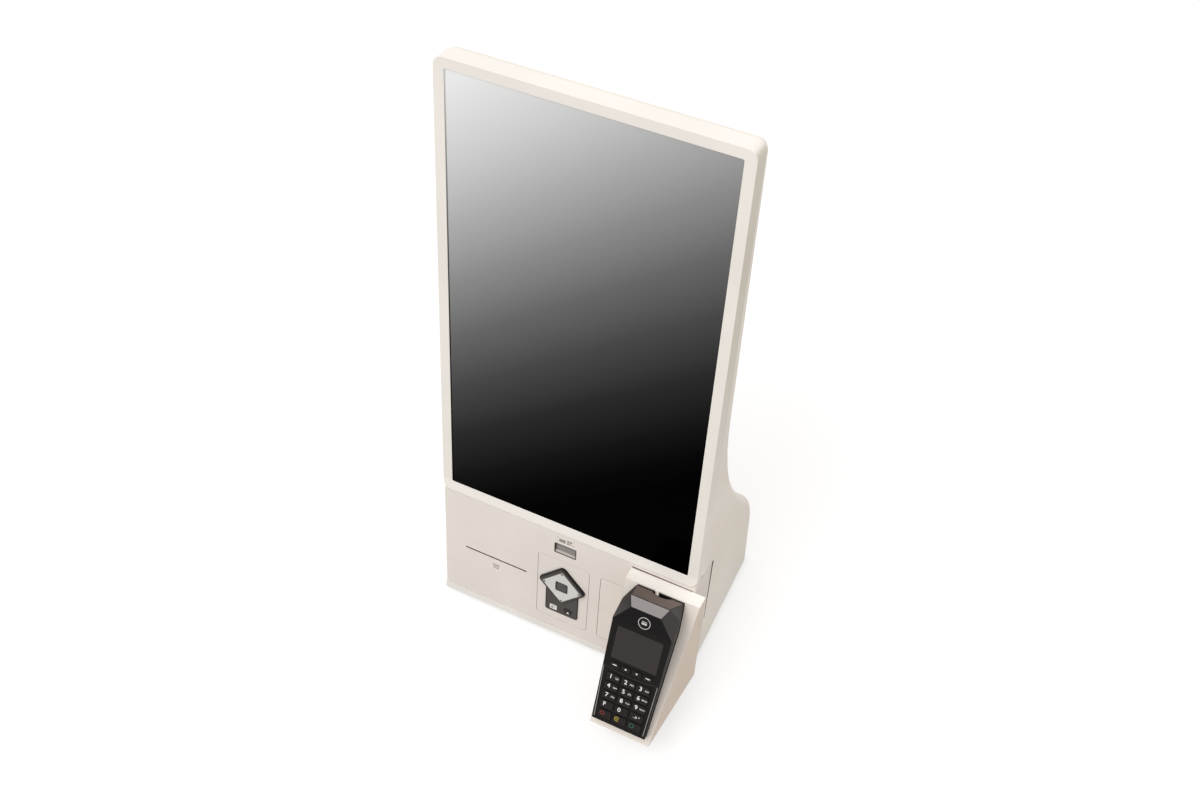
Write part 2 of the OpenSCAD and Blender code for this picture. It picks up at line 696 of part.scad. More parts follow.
block_w = 12;
block_d = 14;
module hinge_block() color(steel) front() difference() {
    translate([hinge_x - hinge_r + housing_wall + trim_gap, hinge_v - block_d / 2,
        disp_lo + housing_wall + shelf_gap]) cube([block_w, block_d, block_d]);
    translate([hinge_x, hinge_v, disp_lo]) cylinder(r = pin_r + pin_fit, h = 40);
}

catch_up = (door_lo + door_hi) / 2;
module door_magnet() color(black) front()
    translate([door_w / 2 - door_t - 9, door_d - 9, catch_up - 12]) cube([9, 9.2, 24]);

module door_striker() color(steel) front()
    translate([body_w / 2 - housing_wall - 9, door_back + 0.2, catch_up - 14]) cube([9, 2, 28]);

module scanner_window() color(graphite) front() translate([0, 0, scan_up]) facing(door_t, 1.5)
    rounded(scan_w + 6, scan_h + 5, 2);

module scanner_module() color(black) front() {
    translate([-22, door_t + 1.5, scan_up - 16]) cube([44, 28, 32]);
    for (x = [-27, 22]) translate([x, door_t, scan_up - 8]) cube([5, 9, 16]);
}

module inset_plate(x) front() translate([x, 0, plate_up]) {
    facing(0, door_t) rounded(plate_w, plate_h, plate_r);
    facing(door_t, 2) rounded(plate_w + 2 * plate_flange, plate_h + 2 * plate_flange, plate_r + plate_flange);
}

module module_plate() color(ivory) inset_plate(module_x);
module blank_plate() color(ivory) inset_plate(blank_x);

module diamond_outline(s, r) rotate(45) rounded(s, s, r);

module reader_base() color(graphite) front() translate([module_x, 0, 0]) difference() {
    translate([0, 0, (house_lo + diamond_up) / 2]) facing(-house_t, house_t)
        rounded(house_w, diamond_up - house_lo, 4);
    translate([0, 0, diamond_up]) facing(-house_t - 1, house_t + 2)
        diamond_outline(diamond_s + 2 * trim_gap, diamond_r);
}

module reader_frame() color(graphite) front() translate([module_x, 0, diamond_up]) difference() {
    union() {
        facing(-diamond_h + 1, diamond_h - 1) diamond_outline(diamond_s, diamond_r);
        facing(-diamond_h, diamond_h) diamond_outline(diamond_s - 2.4, diamond_r - 1.2);
    }
    translate([0, 0, -diffuser_drop]) facing(-diamond_h - 1, diamond_h + 2)
        diamond_outline(diffuser_s + 2 * trim_gap, 1.2 + trim_gap);
}

diffuser_h = diamond_h - diffuser_step;
diffuser_up = diamond_up - diffuser_drop;
module reader_diffuser() color(white) front() translate([module_x, 0, diffuser_up]) difference() {
    facing(-diffuser_h, diffuser_h) diamond_outline(diffuser_s, 1.2);
    facing(-diffuser_h - 1, diffuser_h + 2) rounded(lens_s, lens_s, lens_r);
}

lens_side = lens_s - 2 * trim_gap;
module reader_lens() color(black) front() translate([module_x, 0, diffuser_up])
    facing(-diffuser_h + lens_step, diffuser_h - lens_step)
        rounded(lens_side, lens_side, lens_r - trim_gap);

// Terminal bracket

slope_dir = [-sin(bracket_angle), -cos(bracket_angle)];
slope_in = [cos(bracket_angle), -sin(bracket_angle)];
// The wedge's corners, depth and height: top at the door, foot at the door, front edge, top edge
wedge_top = [0, bracket_up];
wedge_foot = [0, bracket_lo];
wedge_edge = [-bracket_top, bracket_up - 2];
wedge_tip = wedge_edge + bracket_len * slope_dir;

// The sloping face's own frame: x across, y up the slope, z out of the face
module slope() front() translate([bracket_x, wedge_edge[0], wedge_edge[1]])
    rotate([90 - bracket_angle, 0, 0]) children();
// The terminal's place on it
module seat() slope() translate([term_x, 0, 0]) children();

// A wedge over four corners, narrower at the third
module wedge(c, half, tip) {
    h = [half, half, tip, half];
    polyhedron(
        points = [for (s = [-1, 1]) for (i = [0 : 3]) [bracket_x + s * h[i], c[i][0], c[i][1]]],
        faces = concat([[4, 5, 7], [5, 6, 7], [0, 3, 1], [1, 3, 2]],
            [for (i = [0 : 3]) for (t = [0, 1])
                let (b = (i + 1) % 4) t == 0 ? [i, b, 4 + b] : [i, 4 + b, 4 + i]]));
}

top_dir = unit(wedge_edge - wedge_top);
foot_dir = unit(wedge_tip - wedge_foot);
core_slope = wedge_edge + (pocket_h + bracket_t) * slope_in;
core_top = wedge_top + bracket_t * [0, -1];
core_foot = wedge_foot + bracket_t * [0, 1];
core_back = [-bracket_t, 0];
core = [meet(core_top, top_dir, core_back, [0, 1]), meet(core_foot, foot_dir, core_back, [0, 1]),
    meet(core_foot, foot_dir, core_slope, slope_dir), meet(core_top, top_dir, core_slope, slope_dir)];
cable_x = bracket_x + 10;
cable_up = (bracket_lo + bracket_up) / 2;
cable_r = 6;

// Stations down the terminal: place, half widths at base, shoulder and top, shoulder and top heights
deck_s = term_start + head_len;
term_end = term_start + term_len;
head_end = term_start + crest_len;
stations = [
    [term_start, term_half - 10, term_half - 9, head_half, 6, crest_h - 4],
    [head_end, term_half - 8, term_half - 2.7, crest_half, crest_h * 0.57, crest_h],
    [deck_s, term_half - 5.8, term_half, term_half - 1.6, deck_h - 5, deck_h],
    [term_end, term_foot - 1.7, term_foot, term_foot - 0.4, foot_end_h - 3, foot_end_h]];

// The terminal's outline on the bracket, grown by a clearance
module term_plan(grow) {
    ends = [-stations[0][0] + grow, -stations[1][0], -stations[2][0], -stations[3][0] - grow];
    polygon(concat([for (i = [0 : 3]) [stations[i][1] + grow, ends[i]]],
        [for (i = [3 : -1 : 0]) [-stations[i][1] - grow, ends[i]]]));
}

// One cross section of the terminal's upper case, drawn in by a wall
function term_ring(st, y, low, wall) = let (b = st[1] - wall, m = st[2] - wall, t = st[3] - wall)
    [[-b, y, low], [-m, y, st[4] - wall / 2], [-t, y, st[5] - wall],
     [t, y, st[5] - wall], [m, y, st[4] - wall / 2], [b, y, low]];

notch_x = 3;
notch_w = 25;
notch_h = 10.5;
notch_d = 3.6;
finger_x = -8.5;
finger_h = 9;
finger_base = 2.8;
finger_tip = 1.6;
finger_lean = 5.5;

// The bracket's leaning finger, which holds the terminal's head by its notch
module finger() polygon([[-finger_base, -bracket_t / 2], [finger_base, -bracket_t / 2],
    [finger_lean + finger_tip, finger_h], [finger_lean - finger_tip, finger_h]]);

module terminal_bracket() color(ivory) {
    difference() {
        union() {
            front() difference() {
                wedge([wedge_top, wedge_foot, wedge_tip, wedge_edge], bracket_half, bracket_tip);
                wedge(core, bracket_half - bracket_t, bracket_tip - bracket_t);
            }
            front() for (p = bracket_screws_at) translate([p[0], -12, p[1]])
                rotate([-90, 0, 0]) cylinder(r = 5, h = 12);
        }
        seat() translate([0, 0, -pocket_h]) linear_extrude(pocket_h + 5) term_plan(pocket_gap);
        front() for (p = bracket_screws_at) translate([p[0], -10, p[1]])
            rotate([-90, 0, 0]) cylinder(r = screw_r + bolt_gap, h = 12);
        front() translate([cable_x, -2 * bracket_t, cable_up]) rotate([-90, 0, 0])
            cylinder(r = cable_r, h = 3 * bracket_t);
    }
    slope() translate([finger_x, 0, 0]) rotate([90, 0, 0]) {
        linear_extrude(term_start - pocket_gap) finger();
        linear_extrude(term_start + notch_d / 2) intersection() {
            finger();
            translate([-notch_w, 2 * parting_h]) square(2 * notch_w);
        }
    }
}

module bracket_screws() color(steel) front() for (p = bracket_screws_at)
    translate([p[0], door_t, p[1]]) rotate([90, 0, 0]) screw(screw_r, door_t + 9, 3.6, 2.4);

// Terminal

deck_run = term_end - deck_s;
deck_tilt = atan2(deck_h - foot_end_h, deck_run);
// The deck's own frame: x across, y up the deck from the head's lower edge, z out of the deck
module deck() seat() translate([0, -deck_s, deck_h]) rotate([deck_tilt, 0, 0]) children();

module terminal_lower_case() color(black) seat() difference() {
    translate([0, 0, -pocket_h]) linear_extrude(pocket_h + parting_h) term_plan(0);
    translate([0, 0, -pocket_h + term_wall]) linear_extrude(pocket_h + parting_h) term_plan(-term_wall);
    translate([-28, -term_end - 1, -pocket_h + 3.4]) cube([56, term_wall + 2, 1.2]);
}

hollow_y = [-term_start - notch_d - term_wall, -head_end - term_wall, -deck_s, term_wall - term_end];
module terminal_upper_case() color(black) seat() difference() {
    loft([for (st = stations) term_ring(st, -st[0], parting_h, 0)]);
    loft([for (i = [0 : 3]) term_ring(stations[i], hollow_y[i], parting_h - 1, term_wall)]);
    translate([notch_x, -term_start - notch_d, parting_h - 1]) scale([1, 1, 2 * notch_h / notch_w])
        rotate([-90, 0, 0]) cylinder(r = notch_w / 2, h = notch_d + 1);
    translate([0, -deck_s, deck_h]) rotate([deck_tilt, 0, 0]) {
        for (k = keys) translate([k[1], -k[2], -6]) linear_extrude(12)
            rounded(k[3] + 2 * key_gap, k[4] + 2 * key_gap, key_r + key_gap);
        translate([0, -lens_start - lens_h / 2, -lens_t]) linear_extrude(10)
            rounded(lens_w + 2 * trim_gap, lens_h + 2 * trim_gap, 2);
    }
}

module terminal_screen() color(graphite) deck() translate([0, -lens_start - lens_h / 2, -lens_t])
    linear_extrude(lens_t) rounded(lens_w, lens_h, 1.8);

key_flange = 0.9;
module terminal_key(k) color(black) deck() translate([k[1], -k[2], 0]) {
    translate([0, 0, -term_wall - 1.6]) linear_extrude(term_wall + 1.6 + key_up) rounded(k[3], k[4], key_r);
    translate([0, 0, -term_wall - 1.6]) linear_extrude(1.2)
        rounded(k[3] + 2 * key_flange, k[4] + 2 * key_flange, key_r);
}

// Receipt printer

plate_inner = printer_w / 2;
platen_v = 18;
platen_w = slot_up - 0.2 - platen_r;
mesh_d = gear_m * (gear_n + pinion_n) / 2;
motor_v = platen_v + mesh_d * cos(45);
motor_w = platen_w - mesh_d * sin(45);
gear_x = slot_x + plate_inner + printer_t + 0.6;
roll_v = 94;
roll_w_up = 76;
lid_w = 127;
lid_v = 132;
lid_start = 34;
lid_pin_r = 2;
blade_v = 6.2;
blade_up = slot_up - 3.4;
head_lo = slot_up + 0.3;
head_v = 11;
head_d = 14;
head_t = 8;
beam_t = 3;
beam_gap = 2;
blade_h = 11;
blade_gap = 0.2;
groove_lo = 60;
groove_d = 1;
side_v = 5;
side_lo = 80;
knee_v = 32;
knee_lo = 56;
foot_lo = 50;
foot_v = door_back + 3;
frame_end = 128;

module printer_side() polygon([[foot_v, level_w(tray_z, foot_v)], [foot_v, foot_lo], [knee_v, knee_lo],
    [side_v, side_lo], [side_v, head_lo + head_d], [head_v + head_d + side_v, lid_w - 1],
    [frame_end, lid_w - 1], [frame_end, level_w(tray_z, frame_end)]]);

module printer_frame() color(steel) front() difference() {
    union() {
        for (x = [slot_x - plate_inner - printer_t, slot_x + plate_inner]) {
            across(x, printer_t) printer_side();
            across(x, printer_t) translate([lid_v, lid_w + 1]) circle(5);
            across(x, printer_t) translate([frame_end - 9, lid_w - 6]) square([9 + 4, 8]);
        }
        across(slot_x - plate_inner, printer_w) translate([head_v + 1, head_lo + head_t + beam_gap])
            square([head_d + 2, beam_t]);
        across(slot_x - plate_inner, printer_w) polygon([[foot_v, level_w(tray_z, foot_v)],
            [frame_end, level_w(tray_z, frame_end)], [frame_end, level_w(tray_z, frame_end) + 2],
            [foot_v, level_w(tray_z, foot_v) + 2]]);
    }
    across(slot_x - plate_inner - printer_t - 1, printer_w + 2 * printer_t + 2) {
        translate([platen_v, platen_w]) circle(shaft_r + shaft_fit);
        translate([lid_v, lid_w + 1]) circle(lid_pin_r + shaft_fit);
    }
    across(slot_x + plate_inner - 1, printer_t + 2) translate([motor_v, motor_w]) circle(4);
    for (x = [-1, 1])
        across(slot_x + x * (plate_inner + groove_d / 2) - groove_d / 2 - 0.01, groove_d + 0.02)
            translate([blade_v - blade_gap, groove_lo])
                square([blade_t + 2 * blade_gap, slot_up + head_t - groove_lo]);
}

module print_head() color(graphite) front() {
    across(slot_x - plate_inner + head_t / 4, printer_w - head_t / 2) translate([head_v, head_lo])
        square([head_d, head_t]);
    across(slot_x - plate_inner + head_t, printer_w - 2 * head_t)
        translate([head_v + head_d / 4, head_lo + head_t]) square([head_d / 2, beam_gap]);
}

module stepper_motor() color(black) front() difference() {
    across(slot_x + plate_inner - motor_l, motor_l) translate([motor_v, motor_w]) circle(motor_r);
    across(slot_x + plate_inner - motor_l + 3, motor_l) translate([motor_v, motor_w]) circle(1.5 + shaft_fit);
}

function gear_points(n, turn) = let (root = gear_m * (n / 2 - 1.2), tip = gear_m * (n / 2 + 0.85))
    [for (i = [0 : n - 1]) for (k = [[-0.30, root], [-0.14, tip], [0.14, tip], [0.30, root]])
        k[1] * [cos((i + k[0]) * 360 / n + turn), sin((i + k[0]) * 360 / n + turn)]];

module motor_pinion() color(brass) front() {
    across(gear_x, gear_w) translate([motor_v, motor_w]) polygon(gear_points(pinion_n, 180 / pinion_n));
    across(gear_x - printer_t - 12, printer_t + 12) translate([motor_v, motor_w]) circle(1.5);
}

module platen_roller() color(rubber) front() {
    across(slot_x - plate_inner + 1, printer_w - 2) translate([platen_v, platen_w]) circle(platen_r);
    across(slot_x - plate_inner - printer_t - 1, printer_w + 2 * printer_t + gear_w + 3)
        translate([platen_v, platen_w]) circle(shaft_r);
}

module drive_gear() color(white) front() across(gear_x, gear_w) translate([platen_v, platen_w])
    difference() {
        polygon(gear_points(gear_n, 0));
        circle(shaft_r);
    }

module paper_spindle() color(steel) front() across(slot_x - plate_inner, printer_w)
    translate([roll_v, roll_w_up]) circle(spindle_r);

module paper_roll() color(paper_white) front() across(slot_x - roll_w / 2, roll_w)
    translate([roll_v, roll_w_up]) difference() {
        circle(roll_r);
        circle(spindle_r + shaft_fit);
    }

module printer_lid() color(graphite) front() {
    across(slot_x - plate_inner - printer_t, printer_w + 2 * printer_t)
        translate([lid_start, lid_w]) square([frame_end - 10 - lid_start, lid_t]);
    across(slot_x - plate_inner + 1, printer_w - 2) {
        translate([lid_start, lid_w]) square([lid_v - lid_start, lid_t]);
        translate([lid_v, lid_w + 1]) circle(3.4);
    }
    across(slot_x - plate_inner - printer_t, printer_w + 2 * printer_t)
        translate([lid_v, lid_w + 1]) circle(lid_pin_r);
}

module cutter_blade() color(steel) front()
    across(slot_x - plate_inner - groove_d * 0.6, printer_w + groove_d * 1.2)
        translate([blade_v, blade_up - blade_h]) square([blade_t, blade_h]);

base_tray();
rubber_feet();
rear_housing();
rear_cover();
case_screws();
display_bezel();
touch_glass();
lcd_panel();
display_backplate();
main_board();
heat_sink();
power_board();
power_inlet();
hinge_block();
door_striker();
printer_frame();
print_head();
stepper_motor();
paper_spindle();
platen_roller();
drive_gear();
motor_pinion();
paper_roll();
printer_lid();
cutter_blade();
front_door();
hinge_pins();
scanner_window();
scanner_module();
module_plate();
reader_base();
reader_frame();
reader_diffuser();
reader_lens();
blank_plate();
door_magnet();
terminal_bracket();
bracket_screws();
terminal_lower_case();
terminal_upper_case();
terminal_screen();
for (k = keys) terminal_key(k);
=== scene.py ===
import bpy
import json
import math
from mathutils import Matrix, Vector

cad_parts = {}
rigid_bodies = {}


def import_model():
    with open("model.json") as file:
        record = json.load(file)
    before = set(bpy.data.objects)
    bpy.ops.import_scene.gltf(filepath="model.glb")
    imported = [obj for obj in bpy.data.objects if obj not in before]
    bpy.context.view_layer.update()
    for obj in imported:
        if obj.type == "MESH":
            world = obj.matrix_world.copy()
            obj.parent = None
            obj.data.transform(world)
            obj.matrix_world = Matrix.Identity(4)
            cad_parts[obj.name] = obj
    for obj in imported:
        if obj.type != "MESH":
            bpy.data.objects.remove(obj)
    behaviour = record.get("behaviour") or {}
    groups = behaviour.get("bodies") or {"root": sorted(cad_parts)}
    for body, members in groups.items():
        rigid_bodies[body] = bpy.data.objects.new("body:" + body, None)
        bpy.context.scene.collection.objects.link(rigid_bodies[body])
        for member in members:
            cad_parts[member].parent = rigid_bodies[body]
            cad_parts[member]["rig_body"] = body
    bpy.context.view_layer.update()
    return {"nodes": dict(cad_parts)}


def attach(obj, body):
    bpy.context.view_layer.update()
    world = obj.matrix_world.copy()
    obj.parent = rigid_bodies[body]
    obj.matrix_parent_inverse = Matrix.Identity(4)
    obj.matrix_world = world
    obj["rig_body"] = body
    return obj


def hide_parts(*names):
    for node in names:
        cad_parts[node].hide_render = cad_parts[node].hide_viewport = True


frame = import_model()
nodes = frame["nodes"]
bodyOf = {n: o["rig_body"] for n, o in nodes.items()}
mm = 0.001
weldGap = 0.01 * mm  # points of a CAD mesh that belong together
sliverGap = 0.002 * mm  # what a rounded edge leaves behind
facetTurn = math.radians(0.5)  # between the facets of one flat CAD face
faceWeight = 90  # how far large faces lead the shading
sheetSmooth = 40  # degrees, for pieces without rounded edges
letterSteps = 3  # along each curve of a letter
print("stage: frame loaded,", len(nodes), "nodes")


def turnX(degrees):
    return Matrix.Rotation(math.radians(degrees), 4, "X")


def turnZ(degrees):
    return Matrix.Rotation(math.radians(degrees), 4, "Z")


def shift(x, y, z):  # millimetres
    return Matrix.Translation((x * mm, y * mm, z * mm))


# x across, y into the kiosk, z up the leaning front
leanPlace = shift(0, -105.7, 4.4) @ turnX(-15)
outward = leanPlace.to_3x3() @ Vector((0, -1, 0))
# x across, y up the bracket's slope, z out of it
slopePlace = leanPlace @ shift(146.3, -18, 187.2) @ turnX(60)
seatPlace = slopePlace @ shift(-1, 0, 0)
# the terminal's deck with screen and keys, and the dark face above it
deckPlace = seatPlace @ shift(0, -40, 40) @ turnX(math.degrees(math.atan2(29, 148)))
browPlace = seatPlace @ shift(0, -16, 45) @ turnX(math.degrees(math.atan2(5, 24)))


def onFront(x, up, proud=0.0):  # a flat drawing that faces the user
    return leanPlace @ shift(x, -proud, up) @ turnX(90)


def onDeck(x, down, proud=0.0):
    return deckPlace @ shift(x, -down, proud)


def onBrow(x, down, proud=0.0):
    return browPlace @ shift(x, -down, proud)


def pickNothing():
    bpy.ops.object.select_all(action="DESELECT")


def pickOnly(*things):
    pickNothing()
    for thing in things:
        thing.select_set(True)
    bpy.context.view_layer.objects.active = things[0]


def settle(thing, place):  # the place goes into the mesh, the object stays at the origin
    thing.matrix_world = place @ thing.matrix_world
    pickOnly(thing)
    bpy.ops.object.transform_apply(location=True, rotation=True, scale=True)
    return thing


def applyAll(thing):
    pickOnly(thing)
    for m in list(thing.modifiers):
        bpy.ops.object.modifier_apply(modifier=m.name)


def openEdit(thing, wanted=None):  # edit mode, with the faces picked that the test wants, or all
    pickOnly(thing)
    bpy.ops.object.mode_set(mode="EDIT")
    bpy.ops.mesh.select_mode(type="FACE")
    bpy.ops.mesh.select_all(action="SELECT" if wanted is None else "DESELECT")
    if wanted is not None:
        bpy.ops.object.mode_set(mode="OBJECT")
        for face in thing.data.polygons:
            face.select = bool(wanted(face))
        bpy.ops.object.mode_set(mode="EDIT")


def closeEdit():
    bpy.ops.object.mode_set(mode="OBJECT")


def closeOutward():  # with all faces looking out
    bpy.ops.mesh.select_all(action="SELECT")
    bpy.ops.mesh.normals_make_consistent(inside=False)
    closeEdit()


def softenEdges(thing, width, steps=2, angle=30, smooth=50):
    if width:
        m = thing.modifiers.new("soft edges", "BEVEL")
        m.width = width * mm
        m.segments = steps
        m.limit_method = "ANGLE"
        m.angle_limit = math.radians(angle)
        m.use_clamp_overlap = True
        applyAll(thing)
        openEdit(thing)  # what the clamp squeezed flat goes
        bpy.ops.mesh.remove_doubles(threshold=sliverGap)
        bpy.ops.mesh.dissolve_degenerate(threshold=sliverGap)
        closeEdit()
    pickOnly(thing)
    bpy.ops.object.shade_smooth_by_angle(angle=math.radians(smooth))
    m = thing.modifiers.new("even shading", "WEIGHTED_NORMAL")
    m.keep_sharp = True
    m.weight = faceWeight
    applyAll(thing)


def wearFinish(thing, *names):
    thing.data.materials.clear()
    for name in names:
        thing.data.materials.append(finishes[name])


def newObject(name, data):
    thing = bpy.data.objects.new(name, data)
    bpy.context.scene.collection.objects.link(thing)
    return thing


def copyNode(node, name):  # a merged copy of a CAD solid, ready for hand work
    piece = newObject(name, nodes[node].data.copy())
    pickOnly(piece)
    bpy.ops.mesh.customdata_custom_splitnormals_clear()
    openEdit(piece)
    bpy.ops.mesh.remove_doubles(threshold=weldGap)
    bpy.ops.mesh.dissolve_limited(angle_limit=facetTurn)
    closeEdit()
    return piece


def standFor(piece, node, finish=None):
    if finish:
        wearFinish(piece, finish)
    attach(piece, bodyOf[node])
    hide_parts(node)


def addPiece(piece, body, finish):
    wearFinish(piece, finish)
    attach(piece, body)


def dressNode(node, name, finish, edge, steps=2, angle=30, smooth=50):
    piece = copyNode(node, name)
    softenEdges(piece, edge, steps, angle, smooth)
    standFor(piece, node, finish)


def startPlate(name, wide, high, corner=0.0, steps=4):  # a flat plate in millimetres, corners rounded
    pickNothing()
    bpy.ops.mesh.primitive_plane_add(size=1)
    plate = bpy.context.active_object
    plate.name = name
    plate.scale = (wide * mm, high * mm, 1)
    bpy.ops.object.transform_apply(location=True, rotation=True, scale=True)
    if corner:
        openEdit(plate)
        bpy.ops.mesh.bevel(offset=corner * mm, segments=steps, affect="VERTICES")
        closeEdit()
    return plate


def liftFaces(high):  # the picked faces, along the plate's own z
    bpy.ops.mesh.extrude_region_move(TRANSFORM_OT_translate={"value": (0, 0, high * mm)})


def sleeve(name, wide, high, corner, rim, deep):  # a lining: a rim in front and a wall that goes in
    piece = startPlate(name, wide, high, corner)
    openEdit(piece)
    bpy.ops.mesh.inset(thickness=rim * mm)
    bpy.ops.mesh.delete(type="FACE")
    bpy.ops.mesh.select_all(action="SELECT")
    liftFaces(-deep)
    closeOutward()
    return piece


def toMesh(thing, place):
    pickOnly(thing)
    bpy.ops.object.convert(target="MESH")
    return settle(bpy.context.view_layer.objects.active, place)


def flatSigns(name, outlines, place, thick=0.06):  # closed outlines in millimetres, inner ones are holes
    drawing = bpy.data.curves.new(name, "CURVE")
    drawing.dimensions = "2D"
    drawing.fill_mode = "BOTH"
    drawing.extrude = thick * mm / 2
    for outline in outlines:
        line = drawing.splines.new("POLY")
        line.points.add(len(outline) - 1)
        for point, (x, y) in zip(line.points, outline):
            point.co = (x * mm, y * mm, 0, 1)
        line.use_cyclic_u = True
    return toMesh(newObject(name, drawing), place)


def barOutline(x, y, w, h):
    return [(x + a * w / 2, y + b * h / 2) for a, b in ((-1, -1), (1, -1), (1, 1), (-1, 1))]


def roundOutline(x, y, r, count=32):
    turns = [i * math.tau / count for i in range(count)]
    return [(x + r * math.cos(a), y + r * math.sin(a)) for a in turns]


def roundedOutline(x, y, w, h, r, count=5):
    out = []
    for cx, cy, start in ((1, 1, 0), (-1, 1, 90), (-1, -1, 180), (1, -1, 270)):
        for i in range(count + 1):
            a = math.radians(start + 90 * i / count)
            out.append((x + cx * (w / 2 - r) + r * math.cos(a), y + cy * (h / 2 - r) + r * math.sin(a)))
    return out


def arcOutline(x, y, r, t, start, stop, count=14):
    steps = [math.radians(start + (stop - start) * i / count) for i in range(count + 1)]
    outer = [(x + (r + t / 2) * math.cos(a), y + (r + t / 2) * math.sin(a)) for a in steps]
    inner = [(x + (r - t / 2) * math.cos(a), y + (r - t / 2) * math.sin(a)) for a in reversed(steps)]
    return outer + inner


def letters(name, words, size, place, thick=0.06, bold=0.008):
    pickNothing()
    bpy.ops.object.text_add()
    sign = bpy.context.active_object
    sign.name = name
    sign.data.body = words
    sign.data.size = size * mm
    sign.data.align_x = "CENTER"
    sign.data.align_y = "CENTER"
    sign.data.extrude = thick * mm / 2
    sign.data.offset = bold * size * mm
    sign.data.resolution_u = letterSteps
    return toMesh(sign, place)


def addSign(name, outlines, place, finish, body="door", thick=0.06):
    addPiece(flatSigns(name, outlines, place, thick), body, finish)


def joinSigns(name, signs):
    pickOnly(*signs)
    if len(signs) > 1:
        bpy.ops.object.join()
    piece = bpy.context.view_layer.objects.active
    piece.name = name
    return piece


def startGroup(name, outputs, **inputs):
    group = bpy.data.node_groups.new(name, "ShaderNodeTree")
    for label, value in inputs.items():
        socket = group.interface.new_socket(label, in_out="INPUT", socket_type="NodeSocketFloat")
        socket.default_value = value
    for label in outputs:
        group.interface.new_socket(label, in_out="OUTPUT", socket_type="NodeSocketFloat")
    return group, group.nodes.new("NodeGroupInput"), group.nodes.new("NodeGroupOutput")


def link(tree, source, target):
    tree.links.new(source, target)


def addNode(tree, kind, **values):
    node = tree.nodes.new("ShaderNode" + kind)
    for key, value in values.items():
        if key in node.inputs:
            node.inputs[key].default_value = value
        else:
            setattr(node, key, value)
    return node


def mathNode(tree, operation, a, b=None, clamp=False):
    node = addNode(tree, "Math", operation=operation, use_clamp=clamp)
    for i, value in enumerate((a, b)):
        if value is None:
            continue
        if isinstance(value, (int, float)):
            node.inputs[i].default_value = value
        else:
            link(tree, value, node.inputs[i])
    return node.outputs[0]


def rangeNode(tree, value, low, high, toLow=0.0, toHigh=1.0):
    node = addNode(tree, "MapRange", interpolation_type="SMOOTHSTEP")
    link(tree, value, node.inputs[0])
    for i, v in enumerate((low, high, toLow, toHigh)):
        node.inputs[i + 1].default_value = v
    return node.outputs[0]


def spreadOver(tree, *nodes):  # nodes that follow the object's own coordinates
    spot = addNode(tree, "TexCoord")
    for node in nodes:
        link(tree, spot.outputs["Object"], node.inputs[0])


def normalAxis(tree, axis):
    axes = addNode(tree, "SeparateXYZ")
    link(tree, addNode(tree, "NewGeometry").outputs["Normal"], axes.inputs[0])
    return axes.outputs[axis]


def times(tree, a, b, clamp=False):
    return mathNode(tree, "MULTIPLY", a, b, clamp)


# what the node groups start from, and the ranges that become their masks
groupLook = {"grain": 1800.0, "drift": 9.0, "pits": 0.6, "tone": (0.3, 0.7), "reach": 0.0012,
             "wearSize": 40.0, "edge": (0.99, 0.85), "wear": (0.32, 0.62), "dustSize": 14.0,
             "up": (0.45, 0.95), "dust": (0.35, 0.75), "lines": 900.0, "stretch": (0.03, 1.0, 1.0)}


def mouldedGrain():  # spark-eroded skin of a moulding, and slow drift of its tone
    group, take, give = startGroup("moulded grain", ("Height", "Tone"), Grain=groupLook["grain"],
                                   Drift=groupLook["drift"])
    fine = addNode(group, "TexNoise", Detail=2.0, Roughness=0.62)
    pits = addNode(group, "TexVoronoi", feature="SMOOTH_F1")
    slow = addNode(group, "TexNoise", Detail=4.0, Roughness=0.55)
    spreadOver(group, fine, pits, slow)
    for node, size in ((fine, "Grain"), (pits, "Grain"), (slow, "Drift")):
        link(group, take.outputs[size], node.inputs["Scale"])
    deep = times(group, pits.outputs[0], groupLook["pits"])
    link(group, mathNode(group, "ADD", fine.outputs[0], deep), give.inputs["Height"])
    link(group, rangeNode(group, slow.outputs[0], *groupLook["tone"]), give.inputs["Tone"])
    return group


def rubbedEdges():  # where hands and cloths reach the edges first
    group, take, give = startGroup("rubbed edges", ("Mask",), Reach=groupLook["reach"],
                                   Patches=groupLook["wearSize"])
    eased = addNode(group, "Bevel", samples=4)
    link(group, take.outputs["Reach"], eased.inputs["Radius"])
    flat = addNode(group, "NewGeometry")
    dot = addNode(group, "VectorMath", operation="DOT_PRODUCT")
    link(group, eased.outputs[0], dot.inputs[0])
    link(group, flat.outputs["Normal"], dot.inputs[1])
    patch = addNode(group, "TexNoise", Detail=5.0)
    spreadOver(group, patch)
    link(group, take.outputs["Patches"], patch.inputs["Scale"])
    edge = rangeNode(group, dot.outputs["Value"], *groupLook["edge"])
    worn = rangeNode(group, patch.outputs[0], *groupLook["wear"])
    link(group, times(group, edge, worn), give.inputs["Mask"])
    return group


def settledDust():  # on faces that look up
    group, take, give = startGroup("settled dust", ("Mask",), Patches=groupLook["dustSize"])
    patch = addNode(group, "TexNoise", Detail=7.0, Roughness=0.7)
    spreadOver(group, patch)
    link(group, take.outputs["Patches"], patch.inputs["Scale"])
    up = rangeNode(group, normalAxis(group, "Z"), *groupLook["up"])
    thick = rangeNode(group, patch.outputs[0], *groupLook["dust"])
    link(group, times(group, up, thick), give.inputs["Mask"])
    return group


